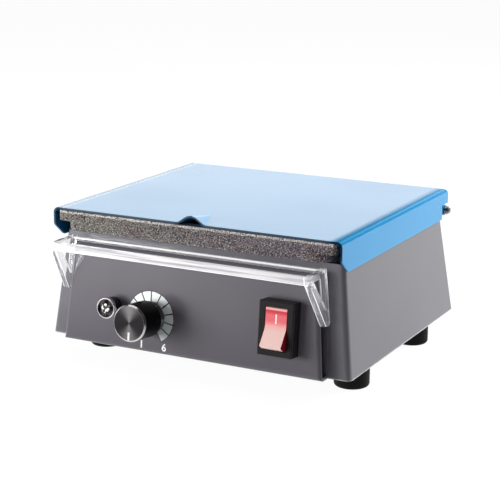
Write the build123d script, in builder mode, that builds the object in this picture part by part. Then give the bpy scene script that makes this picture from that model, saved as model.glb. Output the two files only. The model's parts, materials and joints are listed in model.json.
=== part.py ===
from build123d import *
from math import asin, atan2, cos, degrees, radians, sin, sqrt, tan
import os

os.makedirs("parts", exist_ok=True)

# A bench wax heater. Millimetres, +Z up, the front faces -Y. The origin is the middle of the
# footprint, from the tip of the knob to the back of the hinge, on the surface that the feet stand on.

# ---- driving dimensions ----
# feet
FOOT_HEIGHT = 13.5
FOOT_DIAMETER = 18.4
FOOT_EDGE_RADIUS = 1.8
FOOT_SIDE_INSET = 13.3
FOOT_FRONT_INSET = 32.9
FOOT_REAR_INSET = 29.6
FOOT_HEAD_DEPTH = 7.5
# housing: a box that narrows upwards, with a different lean at the front, the sides and the back
BASE_WIDTH = 173.8
BASE_DEPTH = 145.2
HOUSING_HEIGHT = 56.5
SIDE_TAPER = 6.86
FRONT_TAPER = 5.95
REAR_TAPER = 8.05
BASE_CORNER_RADIUS = 2.8
TOP_CORNER_RADIUS = 2.5
WALL = 1.5
BOTTOM_FLANGE_SIDE = 19.0
BOTTOM_FLANGE_END = 8.0
WINDOW_WIDTH = 126.0
WINDOW_LOW = 4.0
WINDOW_DROP = 8.0
# bottom plate
PLATE_THICKNESS = 1.2
VENT_LENGTH = 26.0
VENT_WIDTH = 3.0
VENT_PITCH_X = 34.0
VENT_PITCH_Y = 9.0
# control panel: a tray that stands proud of the front wall
PANEL_PROUD = 7.5
PANEL_WIDTH = 150.0
PANEL_DROP = 4.0
PANEL_SIDE_TAPER = 5.55
PANEL_SHEET = 1.5
PANEL_EDGE_RADIUS = 2.2
PANEL_BOSS_DIAMETER = 6.4
PANEL_BOSS_X_LOW = 66.0
PANEL_BOSS_X_HIGH = 64.0
PANEL_BOSS_LOW = 7.0
PANEL_BOSS_DROP = 7.5
CLIP_SLOT_DEPTH = 5.0
CLIP_SLOT_HEIGHT = 24.5
CLIP_SLOT_SILL = 1.8
# cast heater block
RIM_SIDE_GAP = 2.0
RIM_FRONT_OVERHANG = 9.3
RIM_REAR_OVERHANG = 2.9
RIM_THICKNESS = 5.5
SHOULDER_INSET = 5.0
SHOULDER_THICKNESS = 5.0
RIM_LAND = 6.0
TRAY_DEPTH = 3.0
LEDGE_SIDE = 10.1
LEDGE_FRONT = 19.7
LEDGE_REAR = 12.6
WELL_BODY_TAPER = 2.0
BLOCK_FLOOR = 10.0
WELL_DEPTH = 25.0
WELL_DRAFT = 6.0
WELL_CORNER = 9.0
WELL_FLOOR_RADIUS = 4.0
SHOULDER_EDGE_RADIUS = 2.0
RIM_EDGE_RADIUS = 0.9
RIM_CORNER_RADIUS = 3.0
TRAY_CORNER_RADIUS = 6.0
BULB_RISE = 4.6
TAP_DEPTH = 6.5
WELL_MARGIN = 6.0
WELL_WEB = 6.0
FRONT_WELL_LENGTH = 40.0
# gasket
GASKET_THICKNESS = 1.5
# lid
LID_SIDE_OVERHANG = 2.4
LID_FRONT_OVERHANG = 8.6
LID_REAR_OVERHANG = 5.1
LID_SHEET = 1.0
LID_SIDE_FLANGE = 16.2
LID_REAR_FLANGE = 8.0
LID_BEND_RADIUS = 3.0
LID_REST_GAP = 0.2
LID_FRONT_STRAIGHT = 9.5
LID_FRONT_SLANT = 7.8
LID_REAR_RELIEF = 8.7
HOOD_WIDTH = 19.0
HOOD_HEIGHT = 4.0
HOOD_LENGTH = 22.0
LID_CORNER_RADIUS = 3.0
# hinge
HINGE_ROD_DIAMETER = 3.0
HINGE_ROD_OVERHANG = 1.6
HINGE_ROD_DROP = 13.2
KNUCKLE_DIAMETER = 6.0
KNUCKLE_LENGTH = 9.7
KNUCKLE_GAP = 0.3
LEAF_THICKNESS = 1.2
LEAF_WIDTH = 21.0
LEAF_MARGIN = 1.6
BRACKET_THICKNESS = 1.5
BRACKET_WIDTH = 22.0
BRACKET_LOW = 35.0
BRACKET_HIGH = 49.0
BRACKET_SCREW_DROP = 1.0
CAP_DIAMETER = 4.6
CAP_LENGTH = 1.5
RIVET_DIAMETER = 3.8
RIVET_HEIGHT = 0.9
ROD_CHAMFER = 0.3
# knob, its place on the panel (across, and up the panel's slope) and its stand-off
KNOB_X = -22.3
KNOB_UP = 18.8
KNOB_GAP = 4.7
KNOB_LENGTH = 16.0
KNOB_DIAMETER = 18.9
KNOB_CAP_THICKNESS = 1.0
KNOB_BEVEL = 0.7
SPIGOT_DIAMETER = 14.0
SPIGOT_LENGTH = 1.2
POINTER_WIDTH = 1.1
POINTER_LENGTH = 4.2
POINTER_DEPTH = 0.3
SHAFT_DIAMETER = 6.0
SHAFT_IN_KNOB = 12.0
SHAFT_IN_BODY = 12.0
SKIRT_WALL = 1.4
SKIRT_HOLLOW = 3.0
KNOB_EDGE_RADIUS = 0.5
SET_SCREW_DIAMETER = 3.0
SET_SCREW_LENGTH = 5.0
SET_SCREW_KEY = 1.5
SET_SCREW_UP = 7.0
# thermostat
THERMOSTAT_SIZE = 28.0
THERMOSTAT_DEPTH = 20.0
BUSH_DIAMETER = 9.8
BUSH_LENGTH = 4.0
WASHER_THICKNESS = 0.8
WASHER_LIP = 1.5
BUSH_NUT_ACROSS = 14.0
BUSH_NUT_THICKNESS = 2.2
BULB_DIAMETER = 6.0
BULB_LENGTH = 66.0
BULB_PROUD = 3.0
CAPILLARY_DIAMETER = 1.6
CAPILLARY_BEND = 3.0
CAPILLARY_LEAD = 7.0
CAPILLARY_RISE = 12.0
CAPILLARY_SWING = 10.0
THERMOSTAT_CORNER = 2.5
THERMOSTAT_EDGE = 1.5
# push-on tabs
TAB_WIDTH = 6.3
TAB_SHEET = 0.8
TAB_LENGTH = 8.0
SMALL_TAB_WIDTH = 2.8
SMALL_TAB_LENGTH = 6.0
# pilot lamp
LAMP_X = -44.6
LAMP_UP = 21.6
LAMP_RING_DIAMETER = 10.8
LAMP_BARREL_DIAMETER = 10.2
LAMP_PROUD = 7.9
LAMP_RING_LENGTH = 1.9
LAMP_TAIL_DIAMETER = 8.0
LAMP_TAIL_LENGTH = 15.0
LAMP_NUT_ACROSS = 11.0
LAMP_NUT_THICKNESS = 2.0
LENS_DIAMETER = 9.3
LENS_SIDES = 8
LENS_FLAT = 4.5
LENS_RIM = 0.8
LENS_RISE = 1.0
RING_EDGE_RADIUS = 0.3
LAMP_TAB_PITCH = 4.0
# rocker switch
SWITCH_X = 52.3
SWITCH_UP = 24.4
BEZEL_WIDTH = 19.0
BEZEL_HEIGHT = 27.4
BEZEL_PROUD = 7.3
SWITCH_BODY_WIDTH = 16.0
SWITCH_BODY_HEIGHT = 24.0
SWITCH_BODY_DEPTH = 15.0
ROCKER_WIDTH = 11.7
ROCKER_RADIUS = 10.5
ROCKER_TILT = 16.0
ROCKER_CORNER_ANGLE = 25.0
ROCKER_PIVOT_PROUD = 5.6
ROCKER_GAP = 0.35
TRUNNION_DIAMETER = 2.4
TRUNNION_LENGTH = 0.9
ROCKER_SKIRT_ANGLE = 12.0
ROCKER_KEEL_WIDTH = 8.0
ROCKER_KEEL_DEPTH = 5.2
ROCKER_VALLEY_RADIUS = 6.0
SWITCH_WELL_DEPTH = 7.4
BEZEL_CORNER = 0.8
BEZEL_EDGE_RADIUS = 0.7
SWITCH_TAB_PITCH = 7.0
# tool rest: a clear frame of square bar
REST_BAR = 3.2
REST_LIP_HEIGHT = 4.4
REST_LIP_REACH = 16.4
REST_REAR_BAR_HEIGHT = 2.2
REST_TIP_HEIGHT = 27.0
REST_TIP_WIDTH = 4.2
REST_LEG_WIDTH = 3.6
REST_SLOT_RISE = 8.0
REST_BEND_RADIUS = 2.6
REST_TIP_RADIUS = 1.9
REST_EDGE_RADIUS = 0.8
REST_GAP = 0.3
# mains inlet on the rear wall
INLET_SIDE_INSET = 44.9
INLET_UP = 19.5
INLET_FLANGE_WIDTH = 50.0
INLET_FLANGE_HEIGHT = 22.5
INLET_FLANGE_THICKNESS = 3.0
INLET_BODY_WIDTH = 27.0
INLET_BODY_HEIGHT = 19.6
INLET_BODY_DEPTH = 17.0
SOCKET_WIDTH = 24.0
SOCKET_HEIGHT = 16.4
SOCKET_DEPTH = 15.0
SOCKET_CHAMFER = 4.5
INLET_SCREW_SPACING = 40.0
INLET_PIN_SPACING = 14.0
INLET_EARTH_OFFSET = 4.0
INLET_PIN_WIDTH = 2.0
INLET_PIN_DEPTH = 4.0
INLET_TAB_LENGTH = 7.0
INLET_PIN_SETBACK = 2.0
INLET_PIN_CHAMFER = 0.4
INLET_CORNER = 4.0
INLET_EDGE_RADIUS = 0.8
INLET_BODY_CORNER = 1.5
CROSS_SLOT = 0.8
CROSS_DEPTH = 1.2
# heater stack under the block
ELEMENT_SIDE_INSET = 12.0
ELEMENT_END_INSET = 9.5
ELEMENT_THICKNESS = 3.0
CLAMP_THICKNESS = 1.5
CLAMP_SCREW_INSET = 5.5
PAD_THICKNESS = 9.5
SHIELD_SHEET = 1.2
SHIELD_LIP = 6.0
PILLAR_ACROSS = 6.0
PILLAR_SIDE_INSET = 12.0
PILLAR_END_INSET = 10.0
PILLAR_TAP = 5.0
CUTOUT_DIAMETER = 14.0
CUTOUT_HEIGHT = 6.0
CUTOUT_DROP = 6.0
CUTOUT_EAR_SPACING = 24.0
CUTOUT_EAR_WIDTH = 7.0
CUTOUT_TAP = 4.0
ELEMENT_TAB_WIDTH = 6.3
ELEMENT_TAB_LENGTH = 9.0
ELEMENT_TAB_X = 18.0
# terminal block and earth stud
TERMINAL_X = 20.0
TERMINAL_SETBACK = 3.6
TERMINAL_WIDTH = 22.0
TERMINAL_DEPTH = 17.0
TERMINAL_BASE = 8.0
TERMINAL_TOWER = 7.0
TERMINAL_PITCH = 11.0
TERMINAL_SCREW_PITCH = 8.0
TERMINAL_SCREW_DIAMETER = 3.4
TERMINAL_WIRE_HOLE = 3.2
TERMINAL_SCREW_LENGTH = 3.5
TERMINAL_WIRE_UP = 6.0
TERMINAL_STEP = 2.0
TERMINAL_CORNER = 1.5
EARTH_X = 0.0
EARTH_SETBACK = 18.0
EARTH_STUD_LENGTH = 12.0
EARTH_CHAMFER = 0.5
# screws: shank diameters, heads and the clearances round them
M4_DIAMETER = 4.0
M4_HEAD_DIAMETER = 8.0
M4_HEAD_HEIGHT = 2.6
M4_NUT_ACROSS = 7.0
M4_NUT_HEIGHT = 3.2
M3_DIAMETER = 3.0
M3_HEAD_DIAMETER = 6.0
M3_HEAD_HEIGHT = 2.0
M3_NUT_ACROSS = 5.5
M3_NUT_HEIGHT = 2.4
THREAD_GAP = 0.05
SCREW_GAP = 0.3
SCREW_TIP_GAP = 1.0
SCREW_STICK_OUT = 1.0
RUNNING_GAP = 0.05
FIT_GAP = 0.2
BLOCK_SCREW_INSET = 8.0
BLOCK_SCREW_DEPTH = 5.5

# ---- levels and outlines worked out from them ----
base_z = FOOT_HEIGHT
top_z = base_z + HOUSING_HEIGHT
flange_z = base_z + PLATE_THICKNESS
shoulder_z = top_z + GASKET_THICKNESS
rim_z = shoulder_z + SHOULDER_THICKNESS
rim_top_z = rim_z + RIM_THICKNESS
tray_z = rim_top_z - TRAY_DEPTH
well_floor_z = tray_z - WELL_DEPTH
block_bottom_z = well_floor_z - BLOCK_FLOOR
lid_under_z = rim_top_z + LID_REST_GAP
lid_top_z = lid_under_z + LID_SHEET
panel_top_z = top_z - PANEL_DROP
element_z = block_bottom_z - ELEMENT_THICKNESS
clamp_z = element_z - CLAMP_THICKNESS
pad_z = clamp_z - PAD_THICKNESS
shield_z = pad_z - SHIELD_SHEET

front_lean = radians(FRONT_TAPER)
rear_lean = radians(REAR_TAPER)
panel_side_lean = radians(PANEL_SIDE_TAPER)

# the housing's top edges, measured from the middle of its base
window_high = HOUSING_HEIGHT - WINDOW_DROP
panel_boss_high = HOUSING_HEIGHT - PANEL_DROP - PANEL_BOSS_DROP
inlet_x = BASE_WIDTH / 2 - INLET_SIDE_INSET
top_half_width = BASE_WIDTH / 2 - HOUSING_HEIGHT * tan(radians(SIDE_TAPER))
top_front = -BASE_DEPTH / 2 + HOUSING_HEIGHT * tan(front_lean)
top_rear = BASE_DEPTH / 2 - HOUSING_HEIGHT * tan(rear_lean)

# the lid and the block's rim hang over them, and the well body stands inside their ledges
lid_width = 2 * (top_half_width + LID_SIDE_OVERHANG)
lid_depth = top_rear + LID_REAR_OVERHANG - top_front + LID_FRONT_OVERHANG
rim_width = lid_width - 2 * (LID_SHEET + RIM_SIDE_GAP)
shoulder_width = rim_width - 2 * SHOULDER_INSET
block_depth = top_rear + RIM_REAR_OVERHANG - top_front + RIM_FRONT_OVERHANG
well_body_width = 2 * (top_half_width - LEDGE_SIDE)
well_body_depth = top_rear - LEDGE_REAR - top_front - LEDGE_FRONT
element_width = well_body_width - 2 * ELEMENT_SIDE_INSET
element_depth = well_body_depth - 2 * ELEMENT_END_INSET
clamp_screw_x = well_body_width / 2 - CLAMP_SCREW_INSET
pillar_x = element_width / 2 - PILLAR_SIDE_INSET
pillar_y = element_depth / 2 - PILLAR_END_INSET
block_screw_x = well_body_width / 2 - BLOCK_SCREW_INSET

# the footprint's middle: the knob's lowest front edge and the back of the hinge knuckles
panel_reach = BASE_DEPTH / 2 + PANEL_PROUD
knob_reach = (
    panel_reach
    - KNOB_UP * sin(front_lean)
    + (KNOB_GAP + KNOB_LENGTH) * cos(front_lean)
    + KNOB_DIAMETER / 2 * sin(front_lean)
)
hinge_reach = top_rear + LID_REAR_OVERHANG + KNUCKLE_DIAMETER
base_y = (knob_reach - hinge_reach) / 2

lid_front_y = base_y + top_front - LID_FRONT_OVERHANG
lid_rear_y = lid_front_y + lid_depth
block_front_y = base_y + top_front - RIM_FRONT_OVERHANG
block_y = block_front_y + block_depth / 2
well_body_front_y = base_y + top_front + LEDGE_FRONT
well_body_y = well_body_front_y + well_body_depth / 2
hinge_y = lid_rear_y + KNUCKLE_DIAMETER / 2
hinge_z = lid_top_z - HINGE_ROD_DROP


def side_x(z):
    """Half width of the housing's outer face at height z."""
    return BASE_WIDTH / 2 - (z - base_z) * tan(radians(SIDE_TAPER))


def front_y(z):
    """The front wall's outer face at height z."""
    return base_y - BASE_DEPTH / 2 + (z - base_z) * tan(front_lean)


def rear_y(z):
    """The rear wall's outer face at height z."""
    return base_y + BASE_DEPTH / 2 - (z - base_z) * tan(rear_lean)


def housing_outline(z, inset):
    """The housing's rounded outline at height z, moved inwards."""
    share = (z - base_z) / HOUSING_HEIGHT
    radius = BASE_CORNER_RADIUS + (TOP_CORNER_RADIUS - BASE_CORNER_RADIUS) * share
    width = 2 * (side_x(z) - inset)
    depth = rear_y(z) - front_y(z) - 2 * inset
    with Locations((0, (front_y(z) + rear_y(z)) / 2)):
        RectangleRounded(width, depth, radius - inset)


def panel_half_width(z):
    """Half width of the panel's outer face at height z."""
    return PANEL_WIDTH / 2 - (z - base_z) * tan(panel_side_lean)


def panel_y(z):
    """The panel's outer face at height z: parallel to the front wall."""
    return front_y(z) - PANEL_PROUD


# planes of the leaning faces: local x across, local y up the slope, z straight out of the face
front_out = (0, -cos(front_lean), sin(front_lean))
panel_plane = Plane(origin=(0, panel_y(base_z), base_z), x_dir=(1, 0, 0), z_dir=front_out)
wall_plane = Plane(origin=(0, front_y(base_z), base_z), x_dir=(1, 0, 0), z_dir=front_out)
rear_plane = Plane(
    origin=(0, rear_y(base_z), base_z),
    x_dir=(-1, 0, 0),
    z_dir=(0, cos(rear_lean), sin(rear_lean)),
)
panel_tray_depth = PANEL_PROUD * cos(front_lean)


def finish(part, label):
    """Names a piece and writes it."""
    part.label = label
    export_step(part, f"parts/{label}.step")


foot_x = BASE_WIDTH / 2 - FOOT_SIDE_INSET
foot_front_y = front_y(base_z) + FOOT_FRONT_INSET
foot_rear_y = rear_y(base_z) - FOOT_REAR_INSET
foot_places = {
    "foot_front_left": (-foot_x, foot_front_y),
    "foot_front_right": (foot_x, foot_front_y),
    "foot_rear_left": (-foot_x, foot_rear_y),
    "foot_rear_right": (foot_x, foot_rear_y),
}
opening_width = well_body_width + 2 * GASKET_THICKNESS
opening_depth = well_body_depth + 2 * GASKET_THICKNESS
block_screw_front_y = (front_y(top_z) + WALL + well_body_front_y - GASKET_THICKNESS) / 2
block_screw_rear_y = (rear_y(top_z) - WALL + well_body_y + opening_depth / 2) / 2
block_screw_places = [
    (side * block_screw_x, y)
    for side in (-1, 1)
    for y in (block_screw_front_y, block_screw_rear_y)
]
pillar_places = [(x, well_body_y + y) for x in (-pillar_x, pillar_x) for y in (-pillar_y, pillar_y)]
panel_screw_places = [
    (-PANEL_BOSS_X_LOW, PANEL_BOSS_LOW),
    (PANEL_BOSS_X_LOW, PANEL_BOSS_LOW),
    (-PANEL_BOSS_X_HIGH, panel_boss_high),
    (PANEL_BOSS_X_HIGH, panel_boss_high),
]
inlet_plane = Plane(
    origin=rear_plane.from_local_coords(Vector(-inlet_x, INLET_UP, 0)),
    x_dir=rear_plane.x_dir,
    z_dir=rear_plane.z_dir,
)
inlet_screw_places = [(-INLET_SCREW_SPACING / 2, 0), (INLET_SCREW_SPACING / 2, 0)]

# hinge stations along the rod: the bracket's knuckle inboard, the leaf's knuckle outboard
leaf_knuckle_x = side_x(hinge_z) - KNUCKLE_LENGTH / 2 - KNUCKLE_GAP
bracket_knuckle_x = leaf_knuckle_x - KNUCKLE_LENGTH - KNUCKLE_GAP
bracket_x = bracket_knuckle_x + KNUCKLE_LENGTH / 2 - BRACKET_WIDTH / 2
bracket_screw_places = [
    (side * (bracket_x + step), (BRACKET_LOW + BRACKET_HIGH) / 2 - BRACKET_SCREW_DROP)
    for side in (-1, 1)
    for step in (-BRACKET_WIDTH / 4, BRACKET_WIDTH / 4)
]

# ---- housing ----
# sheet shell: leaning walls, a flange turned in at the top and another above the bottom edge
with BuildPart() as housing_shell:
    with BuildSketch(Plane.XY.offset(base_z)):
        housing_outline(base_z, 0)
    with BuildSketch(Plane.XY.offset(top_z)):
        housing_outline(top_z, 0)
    loft()
    with BuildSketch(Plane.XY.offset(base_z)):
        housing_outline(base_z, WALL)
    with BuildSketch(Plane.XY.offset(top_z - WALL)):
        housing_outline(top_z - WALL, WALL)
    loft(mode=Mode.SUBTRACT)
    # opening for the block's well body
    with BuildSketch(Plane.XY.offset(top_z)):
        with Locations((0, well_body_y)):
            RectangleRounded(opening_width, opening_depth, WELL_CORNER)
        with Locations(*block_screw_places):
            Circle(M4_DIAMETER / 2 + SCREW_GAP)
    extrude(amount=-2 * WALL, mode=Mode.SUBTRACT)
    # bottom flange, which the bottom plate lies against
    with BuildSketch(Plane.XY.offset(flange_z)):
        housing_outline(flange_z, WALL / 2)
        with Locations((0, base_y)):
            RectangleRounded(
                BASE_WIDTH - 2 * BOTTOM_FLANGE_SIDE,
                BASE_DEPTH - 2 * BOTTOM_FLANGE_END,
                BASE_CORNER_RADIUS,
                mode=Mode.SUBTRACT,
            )
        with Locations(*foot_places.values()):
            Circle(M4_DIAMETER / 2 + SCREW_GAP, mode=Mode.SUBTRACT)
    extrude(amount=WALL)
    # window behind the panel, with the four panel screws beside it
    with BuildSketch(wall_plane):
        with Locations((0, (WINDOW_LOW + window_high) / 2)):
            RectangleRounded(WINDOW_WIDTH, window_high - WINDOW_LOW, WALL)
        with Locations(*panel_screw_places):
            Circle(M3_DIAMETER / 2 + SCREW_GAP)
    extrude(amount=2 * WALL, both=True, mode=Mode.SUBTRACT)
    # mains inlet and hinge brackets on the rear wall
    with BuildSketch(rear_plane):
        with Locations((-inlet_x, INLET_UP)):
            RectangleRounded(INLET_BODY_WIDTH + 2 * SCREW_GAP, INLET_BODY_HEIGHT + 2 * SCREW_GAP, WALL)
            with Locations(*inlet_screw_places):
                Circle(M3_DIAMETER / 2 + SCREW_GAP)
        with Locations(*bracket_screw_places):
            Circle(M3_DIAMETER / 2 + SCREW_GAP)
    extrude(amount=2 * WALL, both=True, mode=Mode.SUBTRACT)
finish(housing_shell.part, "housing_shell")

# ---- control panel ----
# tray with four closed returns, open at the back; a boss at each corner takes a screw from inside
with BuildPart() as front_panel:
    for z in (base_z, panel_top_z):
        with BuildSketch(Plane.XY.offset(z)):
            with Locations((0, (panel_y(z) + front_y(z)) / 2)):
                Rectangle(2 * panel_half_width(z), PANEL_PROUD)
    loft()
    outer_edges = front_panel.edges().filter_by(
        lambda edge: (edge.center() - panel_plane.origin).dot(panel_plane.z_dir) > -0.1
    )
    fillet(outer_edges, PANEL_EDGE_RADIUS)
    for z in (base_z + PANEL_SHEET, panel_top_z - PANEL_SHEET):
        with BuildSketch(Plane.XY.offset(z)):
            with Locations((0, (panel_y(z) + front_y(z)) / 2 + PANEL_SHEET)):
                Rectangle(2 * (panel_half_width(z) - PANEL_SHEET), PANEL_PROUD)
    loft(mode=Mode.SUBTRACT)
    with BuildSketch(wall_plane):
        with Locations(*panel_screw_places):
            Circle(PANEL_BOSS_DIAMETER / 2)
    extrude(amount=panel_tray_depth - PANEL_SHEET / 2)
    with BuildSketch(wall_plane):
        with Locations(*panel_screw_places):
            Circle(M3_DIAMETER / 2 + THREAD_GAP)
    extrude(amount=panel_tray_depth - PANEL_SHEET, mode=Mode.SUBTRACT)
    # holes for the thermostat bush, the lamp and the switch
    with BuildSketch(panel_plane):
        with Locations((KNOB_X, KNOB_UP)):
            Circle(BUSH_DIAMETER / 2 + FIT_GAP)
        with Locations((LAMP_X, LAMP_UP)):
            Circle(LAMP_TAIL_DIAMETER / 2 + FIT_GAP)
        with Locations((SWITCH_X, SWITCH_UP)):
            Rectangle(SWITCH_BODY_WIDTH + 2 * FIT_GAP, SWITCH_BODY_HEIGHT + 2 * FIT_GAP)
    extrude(amount=2 * PANEL_SHEET, both=True, mode=Mode.SUBTRACT)
    # clip slot in each side return, parallel to the leaning front
    slot_low = base_z + CLIP_SLOT_SILL
    slot_high = slot_low + CLIP_SLOT_HEIGHT
    for side in (-1, 1):
        with BuildSketch(Plane.YZ.offset(side * (PANEL_BOSS_X_LOW + PANEL_BOSS_DIAMETER / 2 + FIT_GAP))):
            with BuildLine():
                Polyline(
                    (panel_y(slot_low) + PANEL_SHEET, slot_low),
                    (panel_y(slot_high) + PANEL_SHEET, slot_high),
                    (panel_y(slot_high) + PANEL_SHEET + CLIP_SLOT_DEPTH, slot_high),
                    (panel_y(slot_low) + PANEL_SHEET + CLIP_SLOT_DEPTH, slot_low),
                    close=True,
                )
            make_face()
        extrude(amount=side * PANEL_WIDTH, mode=Mode.SUBTRACT)
finish(front_panel.part, "front_panel")

# ---- bottom plate ----
with BuildPart() as bottom_plate:
    with BuildSketch(Plane.XY.offset(base_z)):
        housing_outline(base_z, WALL + FIT_GAP + SCREW_GAP)
        with Locations(*foot_places.values()):
            Circle(M4_DIAMETER / 2 + SCREW_GAP, mode=Mode.SUBTRACT)
        with Locations(*pillar_places):
            Circle(M3_DIAMETER / 2 + SCREW_GAP, mode=Mode.SUBTRACT)
        with Locations((0, base_y)):
            with GridLocations(VENT_PITCH_X, VENT_PITCH_Y, 3, 5):
                SlotOverall(VENT_LENGTH, VENT_WIDTH, mode=Mode.SUBTRACT)
    extrude(amount=PLATE_THICKNESS)
finish(bottom_plate.part, "bottom_plate")

# ---- feet, each held by a screw up through its middle ----
for foot_name, foot_place in foot_places.items():
    with BuildPart() as foot:
        with BuildSketch():
            with Locations(foot_place):
                Circle(FOOT_DIAMETER / 2)
        extrude(amount=FOOT_HEIGHT)
        fillet(foot.edges().sort_by(Axis.Z)[0], FOOT_EDGE_RADIUS)
        with BuildSketch():
            with Locations(foot_place):
                Circle(M4_HEAD_DIAMETER / 2 + SCREW_GAP)
        extrude(amount=FOOT_HEAD_DEPTH, mode=Mode.SUBTRACT)
        with BuildSketch():
            with Locations(foot_place):
                Circle(M4_DIAMETER / 2 + SCREW_GAP)
        extrude(amount=FOOT_HEIGHT, mode=Mode.SUBTRACT)
    finish(foot.part, foot_name)


def pan_screws(plane, places, shank_length, diameter, head_diameter, head_height):
    """Pan-head screws: the heads stand out of the plane, the shanks run along its normal."""
    with BuildPart() as screws:
        with BuildSketch(plane):
            with Locations(*places):
                Circle(diameter / 2)
        extrude(amount=shank_length)
        with BuildSketch(plane):
            with Locations(*places):
                Circle(head_diameter / 2)
        extrude(amount=-head_height)
        rims = screws.edges().filter_by(GeomType.CIRCLE)
        heads = rims.filter_by(lambda edge: plane.to_local_coords(edge.center()).Z < -head_height / 2)
        fillet(heads, head_height / 3)
        # cross recess
        with BuildSketch(plane.offset(-head_height)):
            with Locations(*places):
                Rectangle(head_diameter / 2, head_diameter / 8)
                Rectangle(head_diameter / 8, head_diameter / 2)
        extrude(amount=head_height / 2, mode=Mode.SUBTRACT)
    return screws.part


def hex_nuts(plane, places, across, height, diameter):
    """Plain hexagon nuts that stand on the plane."""
    with BuildPart() as nuts:
        with BuildSketch(plane):
            with Locations(*places):
                RegularPolygon(across / 2, 6, major_radius=False)
                Circle(diameter / 2 + THREAD_GAP, mode=Mode.SUBTRACT)
        extrude(amount=height)
    return nuts.part


nut_top_z = flange_z + WALL + M4_NUT_HEIGHT
finish(
    pan_screws(
        Plane.XY.offset(FOOT_HEAD_DEPTH),
        foot_places.values(),
        nut_top_z + THREAD_GAP - FOOT_HEAD_DEPTH + 1.0,
        M4_DIAMETER,
        M4_HEAD_DIAMETER,
        M4_HEAD_HEIGHT,
    ),
    "foot_screws",
)
finish(
    hex_nuts(
        Plane.XY.offset(flange_z + WALL),
        foot_places.values(),
        M4_NUT_ACROSS,
        M4_NUT_HEIGHT,
        M4_DIAMETER,
    ),
    "foot_nuts",
)

# ---- heater block ----
# casting: a rim that overhangs a shoulder at the sides, a drafted well body that hangs through the
# housing's top, a sunk tray and three wells; a drilled hole under the wells takes the bulb
well_span = well_body_width - 2 * WELL_MARGIN
well_front_y = well_body_front_y + WELL_MARGIN
front_well_y = well_front_y + FRONT_WELL_LENGTH / 2
rear_well_start_y = well_front_y + FRONT_WELL_LENGTH + WELL_WEB
rear_well_length = well_body_front_y + well_body_depth - WELL_MARGIN - rear_well_start_y
rear_well_y = rear_well_start_y + rear_well_length / 2
rear_well_width = (well_span - WELL_WEB) / 2
rear_well_x = (rear_well_width + WELL_WEB) / 2
bulb_z = block_bottom_z + BULB_RISE
# the thermal cut-out lies on the well body's drafted rear face
cutout_z = (well_floor_z + tray_z) / 2 - CUTOUT_DROP
cutout_drop = shoulder_z + SHOULDER_THICKNESS / 2 - cutout_z
draft = radians(WELL_BODY_TAPER)
cutout_plane = Plane(
    origin=(0, well_body_y + well_body_depth / 2 - cutout_drop * tan(draft), cutout_z),
    x_dir=(-1, 0, 0),
    z_dir=(0, cos(draft), -sin(draft)),
)
cutout_ear_places = [(-CUTOUT_EAR_SPACING / 2, 0), (CUTOUT_EAR_SPACING / 2, 0)]
with BuildPart() as heater_block:
    with BuildSketch(Plane.XY.offset(shoulder_z)):
        with Locations((0, block_y)):
            RectangleRounded(shoulder_width, block_depth, TRAY_CORNER_RADIUS)
    extrude(amount=SHOULDER_THICKNESS)
    fillet(heater_block.edges().group_by(Axis.Z)[0], SHOULDER_EDGE_RADIUS)
    with BuildSketch(Plane.XY.offset(rim_z)):
        with Locations((0, block_y)):
            RectangleRounded(rim_width, block_depth, RIM_CORNER_RADIUS)
    extrude(amount=RIM_THICKNESS)
    fillet(heater_block.edges().group_by(Axis.Z)[-1], RIM_EDGE_RADIUS)
    with BuildSketch(Plane.XY.offset(shoulder_z + SHOULDER_THICKNESS / 2)):
        with Locations((0, well_body_y)):
            RectangleRounded(well_body_width, well_body_depth, WELL_CORNER)
    extrude(amount=block_bottom_z - shoulder_z - SHOULDER_THICKNESS / 2, taper=WELL_BODY_TAPER)
    with BuildSketch(Plane.XY.offset(rim_top_z)):
        with Locations((0, block_y)):
            RectangleRounded(rim_width - 2 * RIM_LAND, block_depth - 2 * RIM_LAND, TRAY_CORNER_RADIUS)
    extrude(amount=-TRAY_DEPTH, taper=WELL_DRAFT, mode=Mode.SUBTRACT)
    with BuildSketch(Plane.XY.offset(tray_z)):
        with Locations((0, front_well_y)):
            RectangleRounded(well_span, FRONT_WELL_LENGTH, WELL_CORNER)
        with Locations((-rear_well_x, rear_well_y), (rear_well_x, rear_well_y)):
            RectangleRounded(rear_well_width, rear_well_length, WELL_CORNER)
    extrude(amount=-WELL_DEPTH, taper=WELL_DRAFT, mode=Mode.SUBTRACT)
    floor_edges = heater_block.edges().filter_by(
        lambda edge: abs(edge.center().Z - well_floor_z) < 0.01
    )
    fillet(floor_edges, WELL_FLOOR_RADIUS)
    # bulb hole from the well body's front face
    with BuildSketch(Plane.XZ.offset(-(well_body_front_y - WELL_MARGIN))):
        with Locations((0, bulb_z)):
            Circle(BULB_DIAMETER / 2 + FIT_GAP)
    extrude(amount=-(BULB_LENGTH + WELL_MARGIN), mode=Mode.SUBTRACT)
    # tapped holes: cut-out screws, hold-down screws and clamp screws
    with BuildSketch(cutout_plane):
        with Locations(*cutout_ear_places):
            Circle(M3_DIAMETER / 2 + THREAD_GAP)
    extrude(amount=-CUTOUT_TAP, mode=Mode.SUBTRACT)
    with BuildSketch(Plane.XY.offset(shoulder_z)):
        with Locations(*block_screw_places):
            Circle(M4_DIAMETER / 2 + THREAD_GAP)
    extrude(amount=TAP_DEPTH, mode=Mode.SUBTRACT)
    with BuildSketch(Plane.XY.offset(block_bottom_z)):
        with Locations((-clamp_screw_x, well_body_y), (clamp_screw_x, well_body_y)):
            Circle(M4_DIAMETER / 2 + THREAD_GAP)
    extrude(amount=TAP_DEPTH, mode=Mode.SUBTRACT)
finish(heater_block.part, "heater_block")

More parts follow.
